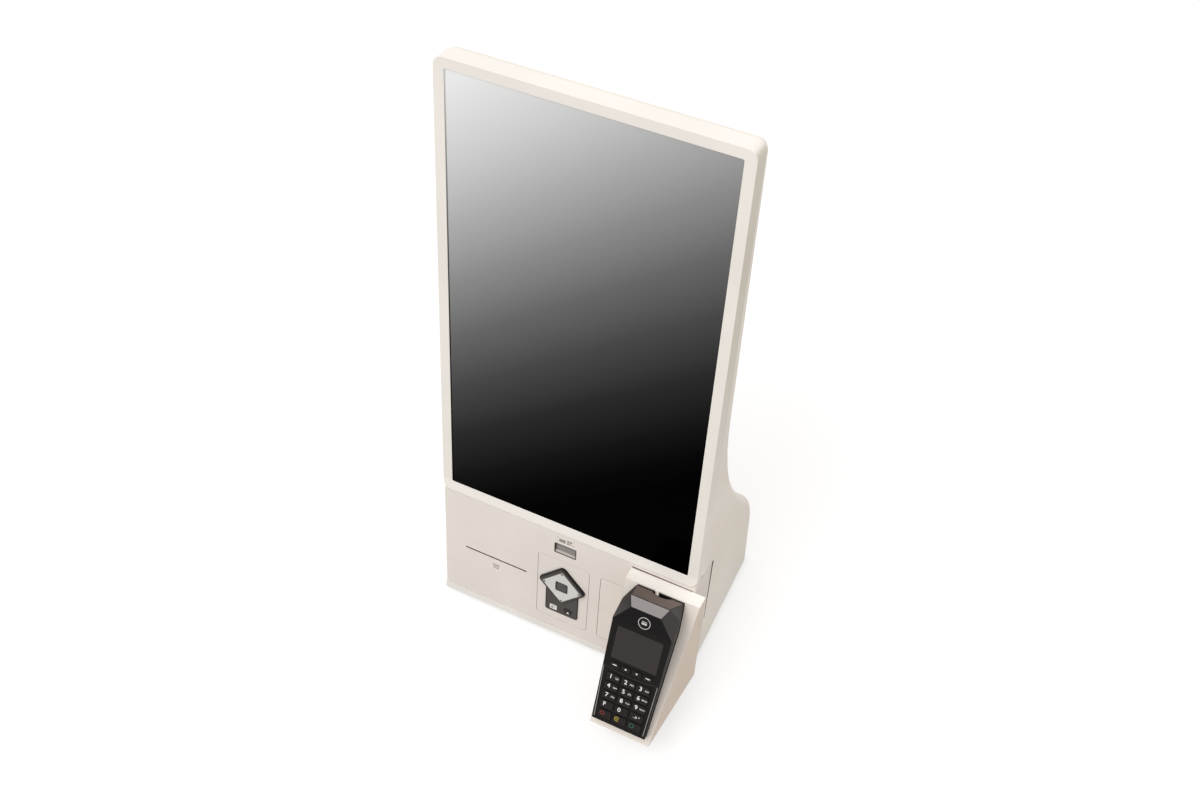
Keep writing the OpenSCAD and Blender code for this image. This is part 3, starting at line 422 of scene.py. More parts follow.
def drawnLines():  # fine lines of drawn or ground metal, along X
    group, take, give = startGroup("drawn lines", ("Height", "Tone"), Lines=groupLook["lines"])
    stretch = addNode(group, "Mapping", Scale=groupLook["stretch"])
    lines = addNode(group, "TexNoise", Detail=3.0, Roughness=0.6)
    slow = addNode(group, "TexNoise", Scale=22.0, Detail=3.0)
    spreadOver(group, stretch, slow)
    link(group, stretch.outputs[0], lines.inputs["Vector"])
    link(group, take.outputs["Lines"], lines.inputs["Scale"])
    link(group, lines.outputs[0], give.inputs["Height"])
    both = mathNode(group, "ADD", lines.outputs[0], slow.outputs[0])
    link(group, times(group, both, 0.5), give.inputs["Tone"])
    return group


grainGroup, rubGroup, dustGroup, lineGroup = mouldedGrain(), rubbedEdges(), settledDust(), drawnLines()


def tone(r, g, b):  # screen colour 0 to 255, as linear light
    def line(c):
        c /= 255
        return c / 12.92 if c <= 0.04045 else ((c + 0.055) / 1.055) ** 2.4
    return (line(r), line(g), line(b), 1.0)


def startFinish(name):
    finish = bpy.data.materials.new(name)
    finish.use_nodes = True
    return finish, finish.node_tree, finish.node_tree.nodes["Principled BSDF"]


def useGroup(tree, group, **values):
    return addNode(tree, "Group", node_tree=group, **values)


def mixColours(tree, factor, first, second):
    node = addNode(tree, "Mix", data_type="RGBA")
    link(tree, factor, node.inputs[0])
    for socket, value in ((node.inputs[6], first), (node.inputs[7], second)):
        if isinstance(value, tuple):
            socket.default_value = value
        else:
            link(tree, value, socket)
    return node.outputs[2]


def shaded(colour, factor):
    return tuple(min(1.0, c * factor) for c in colour[:3]) + (1.0,)


def roughen(tree, skin, height, strength, depth):
    bump = addNode(tree, "Bump", Strength=strength, Distance=depth)
    link(tree, height, bump.inputs["Height"])
    link(tree, bump.outputs[0], skin.inputs["Normal"])


def alongFront(tree, way):  # metres from the foot of the leaning front, in a direction on it
    way = leanPlace.to_3x3() @ Vector(way)
    reach = addNode(tree, "VectorMath", operation="DOT_PRODUCT")
    reach.inputs[1].default_value = way
    spreadOver(tree, reach)
    return mathNode(tree, "SUBTRACT", reach.outputs["Value"], way.dot(leanPlace.translation))


# cloud: how far the gloss drifts with the tone
skinLook = {"polish": 0.15, "cloud": 0.12, "bump": 0.35, "dustLift": 1.06, "coatRough": 0.12}


def mouldedFinish(name, levels, rough=0.5, grain=1500.0, depth=0.00003, drift=0.04, rub=0.5, rubbed=1.1,
                  dust=0.1, dustColour=None, gloss=0.12, coat=0.0, reach=0.0012):
    colour = tone(*levels)
    finish, tree, skin = startFinish(name)
    grainUse = useGroup(tree, grainGroup, Grain=grain)
    rubUse = useGroup(tree, rubGroup, Reach=reach)
    dustUse = useGroup(tree, dustGroup)
    base = mixColours(tree, grainUse.outputs["Tone"], shaded(colour, 1 - drift), shaded(colour, 1 + drift))
    worn = times(tree, rubUse.outputs["Mask"], rub)
    base = mixColours(tree, worn, base, shaded(colour, rubbed))
    dusty = times(tree, dustUse.outputs["Mask"], dust)
    base = mixColours(tree, dusty, base, dustColour or shaded(colour, skinLook["dustLift"]))
    link(tree, base, skin.inputs["Base Color"])
    polish = times(tree, rubUse.outputs["Mask"], skinLook["polish"])
    gleam = mathNode(tree, "SUBTRACT", rough + skinLook["cloud"] / 2, polish)
    cloud = times(tree, grainUse.outputs["Tone"], skinLook["cloud"])
    link(tree, mathNode(tree, "SUBTRACT", gleam, cloud), skin.inputs["Roughness"])
    roughen(tree, skin, grainUse.outputs["Height"], skinLook["bump"], depth)
    skin.inputs["Specular IOR Level"].default_value = gloss
    skin.inputs["Coat Weight"].default_value = coat
    skin.inputs["Coat Roughness"].default_value = skinLook["coatRough"]
    return finish


metalLook = {"dark": 0.82, "bright": 1.1, "rub": 0.5, "rubbed": 1.25, "reach": 0.0006, "cloud": 0.2,
             "bump": 0.3}


def metalFinish(name, levels, rough=0.32, lines=900.0, depth=0.00002, metal=1.0):
    colour = tone(*levels)
    finish, tree, skin = startFinish(name)
    lineUse = useGroup(tree, lineGroup, Lines=lines)
    rubUse = useGroup(tree, rubGroup, Reach=metalLook["reach"])
    dark, bright = shaded(colour, metalLook["dark"]), shaded(colour, metalLook["bright"])
    base = mixColours(tree, lineUse.outputs["Tone"], dark, bright)
    worn = times(tree, rubUse.outputs["Mask"], metalLook["rub"])
    base = mixColours(tree, worn, base, shaded(colour, metalLook["rubbed"]))
    link(tree, base, skin.inputs["Base Color"])
    dull = times(tree, lineUse.outputs["Tone"], metalLook["cloud"])
    link(tree, mathNode(tree, "ADD", rough - metalLook["cloud"] / 2, dull), skin.inputs["Roughness"])
    roughen(tree, skin, lineUse.outputs["Height"], metalLook["bump"], depth)
    skin.inputs["Metallic"].default_value = metal
    return finish


def inkFinish(name, levels):  # thin print on the moulding
    return mouldedFinish(name, levels, rough=0.55, depth=0.000002, rub=0.0, dust=0.0, gloss=0.15)


greyDust = tone(120, 114, 108)
mouldedLooks = {
    "doorIvory": dict(levels=(239, 232, 226), drift=0.025),
    "shellIvory": dict(levels=(247, 240, 231), rough=0.52, drift=0.015),
    "bracketIvory": dict(levels=(234, 225, 216)),
    "bracketLitIvory": dict(levels=(252, 247, 241)),
    "bracketShadeIvory": dict(levels=(228, 213, 199)),
    "lipIvory": dict(levels=(245, 242, 237), rough=0.44),
    "readerGrey": dict(levels=(79, 75, 73), rubbed=1.5, gloss=0.14),
    "rimShadeDark": dict(levels=(32, 30, 29), rough=0.42, rub=0.7, rubbed=2.6, gloss=0.14, reach=0.0007),
    "lensBlack": dict(levels=(72, 67, 65), rough=0.2, depth=0.000004, rub=0.3, rubbed=2.0, dust=0.05,
                      gloss=0.3),
    "lightWhite": dict(levels=(222, 222, 220), rough=0.4, depth=0.00001, drift=0.03, rub=0.1,
                       rubbed=1.02),
    "clipGrey": dict(levels=(120, 117, 114), rough=0.4, rubbed=1.5),
    "caseBlack": dict(levels=(24, 21, 20), rough=0.42, rubbed=3.2, dustColour=greyDust, gloss=0.1,
                      reach=0.0008),
    "caseGloss": dict(levels=(20, 18, 18), rough=0.16, depth=0.000003, rubbed=3.4, dust=0.05,
                      dustColour=greyDust, gloss=0.1, reach=0.0008),
    "caseSilver": dict(levels=(144, 139, 137), rough=0.34, depth=0.00001, rubbed=1.3, gloss=0.2),
    "caseSlate": dict(levels=(64, 60, 60), rough=0.34, rubbed=1.7, gloss=0.15),
    "caseReflectTaupe": dict(levels=(114, 98, 90), rough=0.4, rubbed=1.4, gloss=0.15),
    "keyBlack": dict(levels=(37, 34, 33), rub=0.8, rubbed=3.2, dustColour=greyDust, gloss=0.1,
                     reach=0.0007),
    "displayLens": dict(levels=(60, 56, 55), rough=0.2, depth=0.000003, drift=0.02, rub=0.2, rubbed=1.2,
                        dust=0.02, gloss=0.06),
    "trimGlintGrey": dict(levels=(150, 146, 142), rough=0.2, depth=0.000003, rub=0.4, rubbed=1.6, coat=0.3),
    "footRubber": dict(levels=(38, 37, 36), rough=0.7, grain=900.0, depth=0.00006, gloss=0.15),
    "seamShadowDark": dict(levels=(46, 38, 34), rough=0.8, grain=700.0, depth=0.00008, rub=0.1, gloss=0.05),
    "seamShadeTan": dict(levels=(170, 156, 145), rough=0.55, rub=0.2, gloss=0.1),
    "shadeBrown": dict(levels=(92, 68, 56), rough=0.55, rub=0.2, gloss=0.1),
    "openingShadeDark": dict(levels=(60, 53, 49), rubbed=1.5),
    "sillGrey": dict(levels=(196, 188, 182), rub=0.3),
    "windowSmoke": dict(levels=(150, 145, 141), rough=0.14, depth=0.000002, drift=0.05, rub=0.2,
                        rubbed=1.2, gloss=0.2),
    "blackPlastic": dict(levels=(36, 35, 35), rough=0.45, rubbed=2.0, gloss=0.2),
    "darkPlastic": dict(levels=(70, 70, 71), rough=0.45, rubbed=1.6),
    "gearWhite": dict(levels=(224, 223, 219), rough=0.38, drift=0.03),
    "capSleeve": dict(levels=(36, 42, 56), rough=0.35, rubbed=1.6),
    "coilTape": dict(levels=(196, 170, 92), rough=0.4, rubbed=1.2),
    "boardGreen": dict(levels=(26, 92, 58), rough=0.35, grain=420.0, drift=0.2, rubbed=1.4),
    "magnetGrey": dict(levels=(52, 51, 52), rough=0.4, rubbed=2.0),
}
metalLooks = {
    "sheetSteel": dict(levels=(196, 198, 200), rough=0.36, lines=700.0),
    "screwSteel": dict(levels=(186, 187, 189), rough=0.3, lines=2200.0),
    "rodSteel": dict(levels=(202, 203, 205), rough=0.24, lines=2600.0),
    "panelMetal": dict(levels=(176, 178, 180), rough=0.42, lines=500.0),
    "finMetal": dict(levels=(190, 192, 195), rough=0.38, lines=1400.0),
    "motorCan": dict(levels=(70, 70, 72), rough=0.34, lines=1100.0, metal=0.6),
    "pinionBrass": dict(levels=(206, 176, 104), rough=0.28, lines=2000.0),
}
inkLooks = {
    "inkGrey": (138, 129, 122), "inkWhite": (240, 239, 237), "inkPale": (206, 203, 200),
    "inkDark": (84, 77, 73), "inkBlack": (12, 11, 11), "inkRed": (132, 52, 50),
    "inkYellow": (200, 182, 66), "inkGreen": (62, 120, 96),
}
finishes = {name: mouldedFinish(name, **look) for name, look in mouldedLooks.items()}
finishes |= {name: metalFinish(name, **look) for name, look in metalLooks.items()}
finishes |= {name: inkFinish(name, levels) for name, levels in inkLooks.items()}


paperLook = {"cloud": (0.3, 0.7), "dark": tone(232, 229, 222), "pale": tone(246, 244, 239),
             "rough": (0.2, 0.8, 0.75, 0.9), "bump": 0.3, "depth": 0.00003}


def paperFinish(look):
    finish, tree, skin = startFinish("receipt paper")
    fibre = addNode(tree, "TexNoise", Scale=2600.0, Detail=4.0)
    wound = addNode(tree, "TexNoise", Scale=55.0, Detail=2.0)
    spreadOver(tree, fibre, wound)
    cloudy = rangeNode(tree, wound.outputs[0], *look["cloud"])
    base = mixColours(tree, cloudy, look["dark"], look["pale"])
    link(tree, base, skin.inputs["Base Color"])
    link(tree, rangeNode(tree, fibre.outputs[0], *look["rough"]), skin.inputs["Roughness"])
    roughen(tree, skin, fibre.outputs[0], look["bump"], look["depth"])
    return finish


# steps: grey levels along the slanting wash, from black to pale
screenLook = {"across": -0.74, "start": 255.0, "end": 925.0, "lift": (1.05, 1.07, 1.09), "gloss": 0.004,
              "leftEdge": -170.15, "leftLine": 1.75, "lineSoft": 0.4, "lineFade": 0.7, "fadePower": 3.0,
              "lineTone": tone(8, 8, 8), "smear": (0.3, 0.8, 0.05, 0.12),
              "steps": ((0.0, 1), (0.06, 6), (0.13, 20), (0.245, 43), (0.365, 73), (0.485, 105),
                        (0.605, 141), (0.725, 175), (0.845, 206), (1.0, 236))}


def screenFinish(look):  # a slanting grey wash in the glass's colour, fading to black
    finish, tree, skin = startFinish("screen glass")
    along = alongFront(tree, (look["across"], 0, 1))
    along = mathNode(tree, "SUBTRACT", along, look["start"] * mm)
    span = (look["end"] - look["start"]) * mm
    along = times(tree, along, 1 / span, clamp=True)
    ramp = addNode(tree, "ValToRGB")
    steps = look["steps"]
    while len(ramp.color_ramp.elements) < len(steps):
        ramp.color_ramp.elements.new(0.5)
    for stop, (at, grey) in zip(ramp.color_ramp.elements, steps):
        stop.position = at
        level = tone(grey, grey, grey)[0]
        stop.color = [min(1.0, level * lift) for lift in look["lift"]] + [1.0]
    link(tree, along, ramp.inputs[0])
    # dark line along the left edge, weaker where the wash is pale
    axes = addNode(tree, "SeparateXYZ")
    inner = (look["leftEdge"] + look["leftLine"]) * mm
    line = rangeNode(tree, axes.outputs["X"], inner, inner - look["lineSoft"] * mm)
    fade = times(tree, mathNode(tree, "POWER", along, look["fadePower"]), look["lineFade"])
    line = times(tree, line, mathNode(tree, "SUBTRACT", 1.0, fade))
    edged = mixColours(tree, line, ramp.outputs[0], look["lineTone"])
    link(tree, edged, skin.inputs["Base Color"])
    smear = addNode(tree, "TexNoise", Scale=26.0, Detail=6.0, Roughness=0.65)
    spreadOver(tree, axes, smear)
    link(tree, rangeNode(tree, smear.outputs[0], *look["smear"]), skin.inputs["Roughness"])
    skin.inputs["Specular IOR Level"].default_value = look["gloss"]
    return finish


finishes["paper"] = paperFinish(paperLook)
finishes["screen"] = screenFinish(screenLook)
print("stage: finishes made,", len(finishes))

# the bar tone is a painted highlight along the lower bar, the wall tone painted shade up the right wall
bezelLook = {"edge": 1.6, "steps": 3, "tone": (243, 238, 232), "litBarTone": tone(251, 247, 241),
             "barHigh": 218.0, "barLow": 211.0, "shadeWallTone": tone(224, 217, 204), "wallLow": 330.0,
             "wallHigh": 620.0, "wallTurn": (0.6, 0.9)}


def bezelFinish(look):  # painted light: paler along its lower bar as a painted highlight, darker and warmer up its right wall as painted shade
    finish = mouldedFinish("bezel ivory", look["tone"], rough=0.46, drift=0.025)
    tree = finish.node_tree
    skin = tree.nodes["Principled BSDF"]
    base = skin.inputs["Base Color"].links[0].from_socket
    rise = times(tree, alongFront(tree, (0, 0, 1)), 1 / mm)
    low = rangeNode(tree, rise, look["barHigh"], look["barLow"])
    base = mixColours(tree, low, base, look["litBarTone"])
    side = rangeNode(tree, normalAxis(tree, "X"), *look["wallTurn"])
    high = rangeNode(tree, rise, look["wallLow"], look["wallHigh"])
    base = mixColours(tree, times(tree, side, high), base, look["shadeWallTone"])
    link(tree, base, skin.inputs["Base Color"])
    return finish


finishes["bezelIvory"] = bezelFinish(bezelLook)
dressNode("display_bezel", "bezelFrame", "bezelIvory", bezelLook["edge"], bezelLook["steps"])

housingLook = {"edge": 0.8, "steps": 2, "angle": 50, "smooth": 40}
dressNode("rear_housing", "housingShell", "shellIvory", **housingLook)

coverLook = {"edge": 0.6, "steps": 2}
dressNode("rear_cover", "rearCover", "shellIvory", **coverLook)

trayLook = {"edge": 0.7, "steps": 2}
dressNode("base_tray", "baseTray", "lipIvory", **trayLook)

doorLook = {"edge": 0.5, "steps": 2}
dressNode("front_door", "doorPanel", "doorIvory", **doorLook)

plateLook = {"edge": 0.6, "steps": 2, "wallTurn": 0.3,
             "pieces": (("module_plate", "modulePlate", "seamShadeTan"),
                        ("blank_plate", "blankPlate", "shadeBrown"))}


def insetPlates(look):  # painted shade: their walls are darker, so the seam round them shows as a shaded gap
    for node, name, wall in look["pieces"]:
        piece = copyNode(node, name)
        wearFinish(piece, "doorIvory", wall)
        for face in piece.data.polygons:
            face.material_index = int(abs(face.normal.dot(outward)) < look["wallTurn"])
        softenEdges(piece, look["edge"], look["steps"])
        standFor(piece, node)


insetPlates(plateLook)

bracketLook = {"edge": 0.9, "steps": 3, "endTurn": 0.6, "flankTurn": 0.8}


def bracketWedge(look):  # painted light: paler at its top end as a painted highlight, darker and warmer on its flanks and lower end as painted shade
    piece = copyNode("terminal_bracket", "bracketWedge")
    softenEdges(piece, look["edge"], look["steps"])
    wearFinish(piece, "bracketIvory", "bracketLitIvory", "bracketShadeIvory")
    turn = slopePlace.to_3x3().inverted()
    for face in piece.data.polygons:
        facing = turn @ face.normal
        shadedFlank = abs(facing.x) > look["flankTurn"] or facing.y < -look["endTurn"]
        face.material_index = 1 if facing.y > look["endTurn"] else 2 if shadedFlank else 0
    standFor(piece, "terminal_bracket")


bracketWedge(bracketLook)
print("stage: shells dressed")

# painted shadow: a dark strip behind the door's right wall, wider at its top, standing in for the shade of
# the seam there
doorShadowLook = {"across": 182.4, "front": 53.3, "topWide": 5.5, "footWide": 2.4, "thick": 0.5, "edge": 0.12,
              "low": 84.0, "high": 195.0}


def doorShadowStrip(look):
    front, low, high = look["front"], look["low"], look["high"]
    outline = [(front, low), (front + look["footWide"], low), (front + look["topWide"], high),
               (front, high)]
    place = leanPlace @ shift(look["across"], 0, 0) @ turnZ(90) @ turnX(90)
    strip = flatSigns("doorShadowStrip", [outline], place, look["thick"])
    openEdit(strip)
    bpy.ops.mesh.remove_doubles(threshold=weldGap)
    closeEdit()
    softenEdges(strip, look["edge"])
    addPiece(strip, "kiosk", "seamShadowDark")


doorShadowStrip(doorShadowLook)

bracketShadowLook = {"left": 95.6, "right": 180.5, "low": 189.5, "leftHigh": 191.7, "rightHigh": 190.8,
            "proud": 0.06, "thick": 0.12}


def bracketShadowStrip(look):  # painted shadow: a brown strip on the door along the bracket's top edge, where the door lies in shade between bracket and bezel
    low, left, right = look["low"], look["left"], look["right"]
    outline = [(left, low), (right, low), (right, look["rightHigh"]), (left, look["leftHigh"])]
    addSign("bracketShadowStrip", [outline], onFront(0, 0, look["proud"]), "shadeBrown",
            thick=look["thick"])


bracketShadowStrip(bracketShadowLook)

slotLook = {"across": -103.3, "up": 98.2, "wide": 94.2, "high": 2.0, "corner": 0.9, "rim": 0.25,
            "deep": 2.6, "proud": 0.06}


# painted shade: the lining's dark brown stands in for the shade inside the receipt slot
def slotShadeLining(look):
    lining = sleeve("slotShadeLining", look["wide"], look["high"], look["corner"], look["rim"], look["deep"])
    settle(lining, onFront(look["across"], look["up"], look["proud"]))
    softenEdges(lining, 0, smooth=sheetSmooth)
    addPiece(lining, "door", "shadeBrown")


slotShadeLining(slotLook)

scannerLook = {"wide": 31.2, "low": 160.15, "high": 177.35, "corner": 1.5, "rim": 0.8, "deep": 2.9,
               "footCut": 0.1, "line": 0.7, "lineThick": 0.16, "proud": 0.08, "sillWide": 29.4,
               "sillLong": 3.7, "sillIn": 1.55, "sillUp": 1.65, "sillTurn": 45, "sillThick": 0.3,
               "strips": 5, "ribs": 0.22}


def scannerOpening(look):
    tall = look["high"] - look["low"]
    middle = (look["high"] + look["low"]) / 2
    # painted shade: the dark lining and the dark rim round the opening stand in for the shade on its inner
    # walls
    surround = sleeve("scannerShadeSurround", look["wide"], tall, look["corner"], look["rim"], look["deep"])
    openEdit(surround)  # the sloping sill takes the lining's foot away
    cut = (look["footCut"] - tall / 2) * mm
    slope = math.radians(look["sillTurn"])
    bpy.ops.mesh.bisect(plane_co=(0, cut, 0), plane_no=(0, math.sin(slope), math.cos(slope)), use_fill=True,
                        clear_inner=True)
    closeEdit()
    settle(surround, onFront(0, middle, look["proud"]))
    softenEdges(surround, 0, smooth=sheetSmooth)
    addPiece(surround, "door", "openingShadeDark")
    line = look["line"]
    rim = [roundedOutline(0, 0, look["wide"] + line, tall + line, look["corner"]),
           roundedOutline(0, 0, look["wide"] - line, tall - line, look["corner"])]
    addSign("scannerShadeRim", rim, onFront(0, middle, look["proud"]), "openingShadeDark",
            thick=look["lineThick"])

    sill = startPlate("scannerSill", look["sillWide"], look["sillLong"])
    strips = look["strips"]
    cuts = [look["sillLong"] * (i / strips - 0.5) for i in range(1, strips)]
    for cut in cuts:
        openEdit(sill)
        bpy.ops.mesh.bisect(plane_co=(0, cut * mm, 0), plane_no=(0, 1, 0))
        closeEdit()
    openEdit(sill, lambda f: cuts[0] < f.center.y / mm < cuts[1] or cuts[2] < f.center.y / mm < cuts[3])
    liftFaces(look["ribs"])
    closeEdit()
    thick = sill.modifiers.new("sheet", "SOLIDIFY")
    thick.thickness = look["sillThick"] * mm
    thick.offset = 1.0
    applyAll(sill)
    place = leanPlace @ shift(0, look["sillIn"], look["low"] + look["sillUp"])
    settle(sill, place @ turnX(look["sillTurn"]))
    softenEdges(sill, 0, smooth=sheetSmooth)
    addPiece(sill, "door", "sillGrey")


scannerOpening(scannerLook)
windowLook = {"edge": 0.3, "steps": 2}
dressNode("scanner_window", "scannerWindow", "windowSmoke", **windowLook)

# small printed marks on the door: a receipt under its slot, two codes and corner ticks over the scanner
markLook = {"proud": 0.03, "receipt": (-103.1, 82.9), "codes": (0.0, 186.0), "tickAcross": 12.3,
            "tickHigh": 190.6, "tickLow": 182.5, "tickLong": 1.8, "tickLine": 0.5, "codeTall": 6.0,
            "codeDrop": -0.8, "codeDot": (1.1, 1.1), "outer": (2.5, 2.5), "inner": (0.9, 0.9), "size": 1.15,
            "paper": ((-4.6, 3.7), (4.6, 3.7), (4.6, 2.8), (3.3, 2.8), (3.3, -3.6), (1.65, -2.5), (0, -3.6),
                      (-1.65, -2.5), (-3.3, -3.6), (-3.3, 2.8), (-4.6, 2.8)),
            "window": ((-2.5, 2.8), (2.5, 2.8), (2.5, -2.1), (1.65, -1.5), (0, -2.6), (-1.65, -1.5),
                       (-2.5, -2.1)),
            "lines": ((0, 1.3, 3.0, 0.7), (0, -0.2, 3.0, 0.7)),
            "bars": ((-8.4, 1.1), (-6.9, 0.7), (-5.4, 1.2), (-3.7, 0.8), (-2.2, 1.1), (-0.8, 0.7)),
            "corners": ((3.4, 1.9), (7.7, 1.9), (3.4, -2.3)),
            "dots": ((5.6, 0.3), (7.0, -0.9), (8.3, -2.2), (6.2, -2.6), (5.5, 2.3))}


def doorMarks(look):
    paper = [look["paper"], look["window"]] + [barOutline(*line) for line in look["lines"]]
    paper = [[(x * look["size"], y * look["size"]) for x, y in outline] for outline in paper]
    x, up = look["receipt"]
    addSign("receiptMark", paper, onFront(x, up, look["proud"]), "inkGrey")

    drop, tall = look["codeDrop"], look["codeTall"]
    codes = [barOutline(x, drop, wide, tall) for x, wide in look["bars"]]
    for at in look["corners"]:
        codes += [barOutline(*at, *look["outer"]), barOutline(*at, *look["inner"])]
    codes += [barOutline(*at, *look["codeDot"]) for at in look["dots"]]
    x, up = look["codes"]
    addSign("codeMarks", codes, onFront(x, up, look["proud"]), "inkDark")

    ticks = []
    long, line = look["tickLong"], look["tickLine"]
    corner = ((0, 0), (long, 0), (long, line), (line, line), (line, long), (0, long))
    for side in (-1, 1):
        for up, way in ((look["tickHigh"], -1), (look["tickLow"], 1)):
            x = side * look["tickAcross"]
            ticks.append([(x - side * a, up + way * b) for a, b in corner])
    addSign("cornerTicks", ticks, onFront(0, 0, look["proud"]), "inkGrey")


doorMarks(markLook)
print("stage: door fitted out")

# fronts: CAD node, piece, edge, width of the dark outline of painted shade, finish inside it
readerLook = {"across": -1.0, "up": 99.9, "proud": 3.9, "frontTurn": 0.9, "steps": 3, "lightEdge": 0.3,
              "fronts": (("reader_frame", "readerFrame", 0.6, 0.45, "readerGrey"),
                         ("reader_base", "readerBase", 0.4, 1.2, "readerGrey"),
                         ("reader_lens", "readerEye", 0.5, 1.7, "lensBlack")),
              "cornerReach": 28.4, "clipSide": 2.6, "clipThick": 0.22, "clipRim": 0.5, "clipSink": 0.08,
              "clipLift": 0.02, "iconProud": 1.24, "cardAt": (-13.0, 52.4), "card": (0, 0, 10.8, 9.0, 1.1),
              "cardHoles": ((0.7, 1.7, 7.6, 0.9), (-1.6, -1.6, 3.4, 2.2)), "fanAt": (9.0, 51.2),
              "fanArcs": ((4.0, 2.2, -25, 205), (7.4, 2.2, 25, 155)), "fanDot": (0, 0.2, 1.6)}


def paintInside(piece, wanted, line, slot):  # a finish on the faces, apart from a line along their border
    openEdit(piece, wanted)
    bpy.ops.mesh.inset(thickness=line * mm)
    closeEdit()
    for face in piece.data.polygons:
        if face.select:
            face.material_index = slot


def readerFronts(look):  # painted shade: dark walls and outlines, lighter fronts
    for node, name, edge, line, inside in look["fronts"]:
        piece = copyNode(node, name)
        wearFinish(piece, "rimShadeDark", inside)
        paintInside(piece, lambda face: face.normal.dot(outward) > look["frontTurn"], line, 1)
        softenEdges(piece, edge, look["steps"])
        standFor(piece, node)


def readerClips(look):  # one small corner clip, copied to the diffuser's four corners
    pickNothing()
    bpy.ops.mesh.primitive_circle_add(vertices=3, radius=look["clipSide"] * mm, fill_type="NGON")
    first = bpy.context.active_object
    openEdit(first)
    bpy.ops.mesh.bevel(offset=look["clipRim"] * mm, segments=3, affect="VERTICES")
    bpy.ops.mesh.select_all(action="SELECT")
    liftFaces(look["clipThick"])
    bpy.ops.mesh.inset(thickness=look["clipRim"] * mm)
    liftFaces(-look["clipSink"])
    closeOutward()
    middle = onFront(look["across"], look["up"], look["proud"])
    inset = look["cornerReach"] - look["clipSide"]
    for i, turn in enumerate((0, 90, 180, 270)):
        clip = newObject("readerClip.%d" % i, first.data.copy())
        settle(clip, middle @ turnZ(turn) @ shift(0, inset, look["clipLift"]))
        addPiece(clip, "door", "clipGrey")
    bpy.data.objects.remove(first)


def readerIcons(look):  # a card, and a fan of two arcs over a dot
    card = [roundedOutline(*look["card"])] + [barOutline(*hole) for hole in look["cardHoles"]]
    fan = [arcOutline(0, 0, *arc) for arc in look["fanArcs"]]
    dot = [roundOutline(*look["fanDot"])]
    for name, outlines, at, ink in (("cardIcon", card, "cardAt", "inkWhite"),
                                    ("fanIcon", fan, "fanAt", "inkBlack"),
                                    ("fanDot", dot, "fanAt", "inkWhite")):
        addSign(name, outlines, onFront(*look[at], look["iconProud"]), ink)


readerFronts(readerLook)
dressNode("reader_diffuser", "readerLight", "lightWhite", readerLook["lightEdge"])
readerClips(readerLook)
readerIcons(readerLook)
print("stage: reader dressed")

# the end, crest and brow start at these places along the seat, and the skirt stays below its height
terminalLook = {"edge": 0.7, "steps": 3, "smooth": 45, "lowerEdge": 0.7, "lensEdge": 0.3,
                "endFrom": -4.0, "crestFrom": -16.0, "browFrom": -42.0, "skirtHigh": 20.0, "flat": 0.6,
                "tilted": 0.3, "upward": 0.1, "endBorder": 1.7, "crestBorder": 0.5,
                "ringAt": (0.9, 14.9), "ring": 8.3, "ringLine": 0.9, "ringSteps": 48, "ringProud": 0.04,
                "ringCard": (0, 0.2, 7.2, 4.8, 0.8), "ringStripe": (0, 1.2, 7.2, 1.0),
                "trimTop": (37.4, 70.0), "trimFoot": (34.6, 147.0), "trimWide": 0.9, "trimCorner": 0.4,
                "trimHigh": 0.3, "trimRim": 0.2, "trimCrown": 0.12, "trimLift": 0.02,
                "arcDown": 72.6, "arcRadius": 178.0, "arcLine": 0.55, "arcTurn": 12.0, "arcSteps": 30,
                "arcProud": 0.06, "arcThick": 0.12}


def terminalCase(look):
    piece = copyNode("terminal_upper_case", "terminalCase")
    wearFinish(piece, "caseBlack", "caseGloss", "caseSilver", "caseSlate", "caseReflectTaupe")
    back = seatPlace.inverted()
    turn = back.to_3x3()
    flat, tilted = look["flat"], look["tilted"]

    def endFace(face):
        return (turn @ face.normal).y > flat and (back @ face.center).y > look["endFrom"] * mm

    def crestFace(face):
        facing = turn @ face.normal
        onCrest = (back @ face.center).y > look["crestFrom"] * mm
        return onCrest and facing.z > flat and abs(facing.x) < tilted

    # painted reflection: the end face's taupe stands in for the bracket's ivory reflected in the black
    # case, inside a black border
    paintInside(piece, endFace, look["endBorder"], 4)
    paintInside(piece, crestFace, look["crestBorder"], 2)
    for face in piece.data.polygons:
        spot = back @ face.center / mm
        facing = turn @ face.normal
        if face.material_index or spot.y < look["browFrom"] or spot.z < look["skirtHigh"]:
            continue
        if facing.z > flat and abs(facing.x) < tilted and spot.y < look["crestFrom"]:
            face.material_index = 1
        elif facing.z > look["upward"] and abs(facing.x) >= tilted:
            face.material_index = 3
    softenEdges(piece, look["edge"], look["steps"], smooth=look["smooth"])
    standFor(piece, "terminal_upper_case")


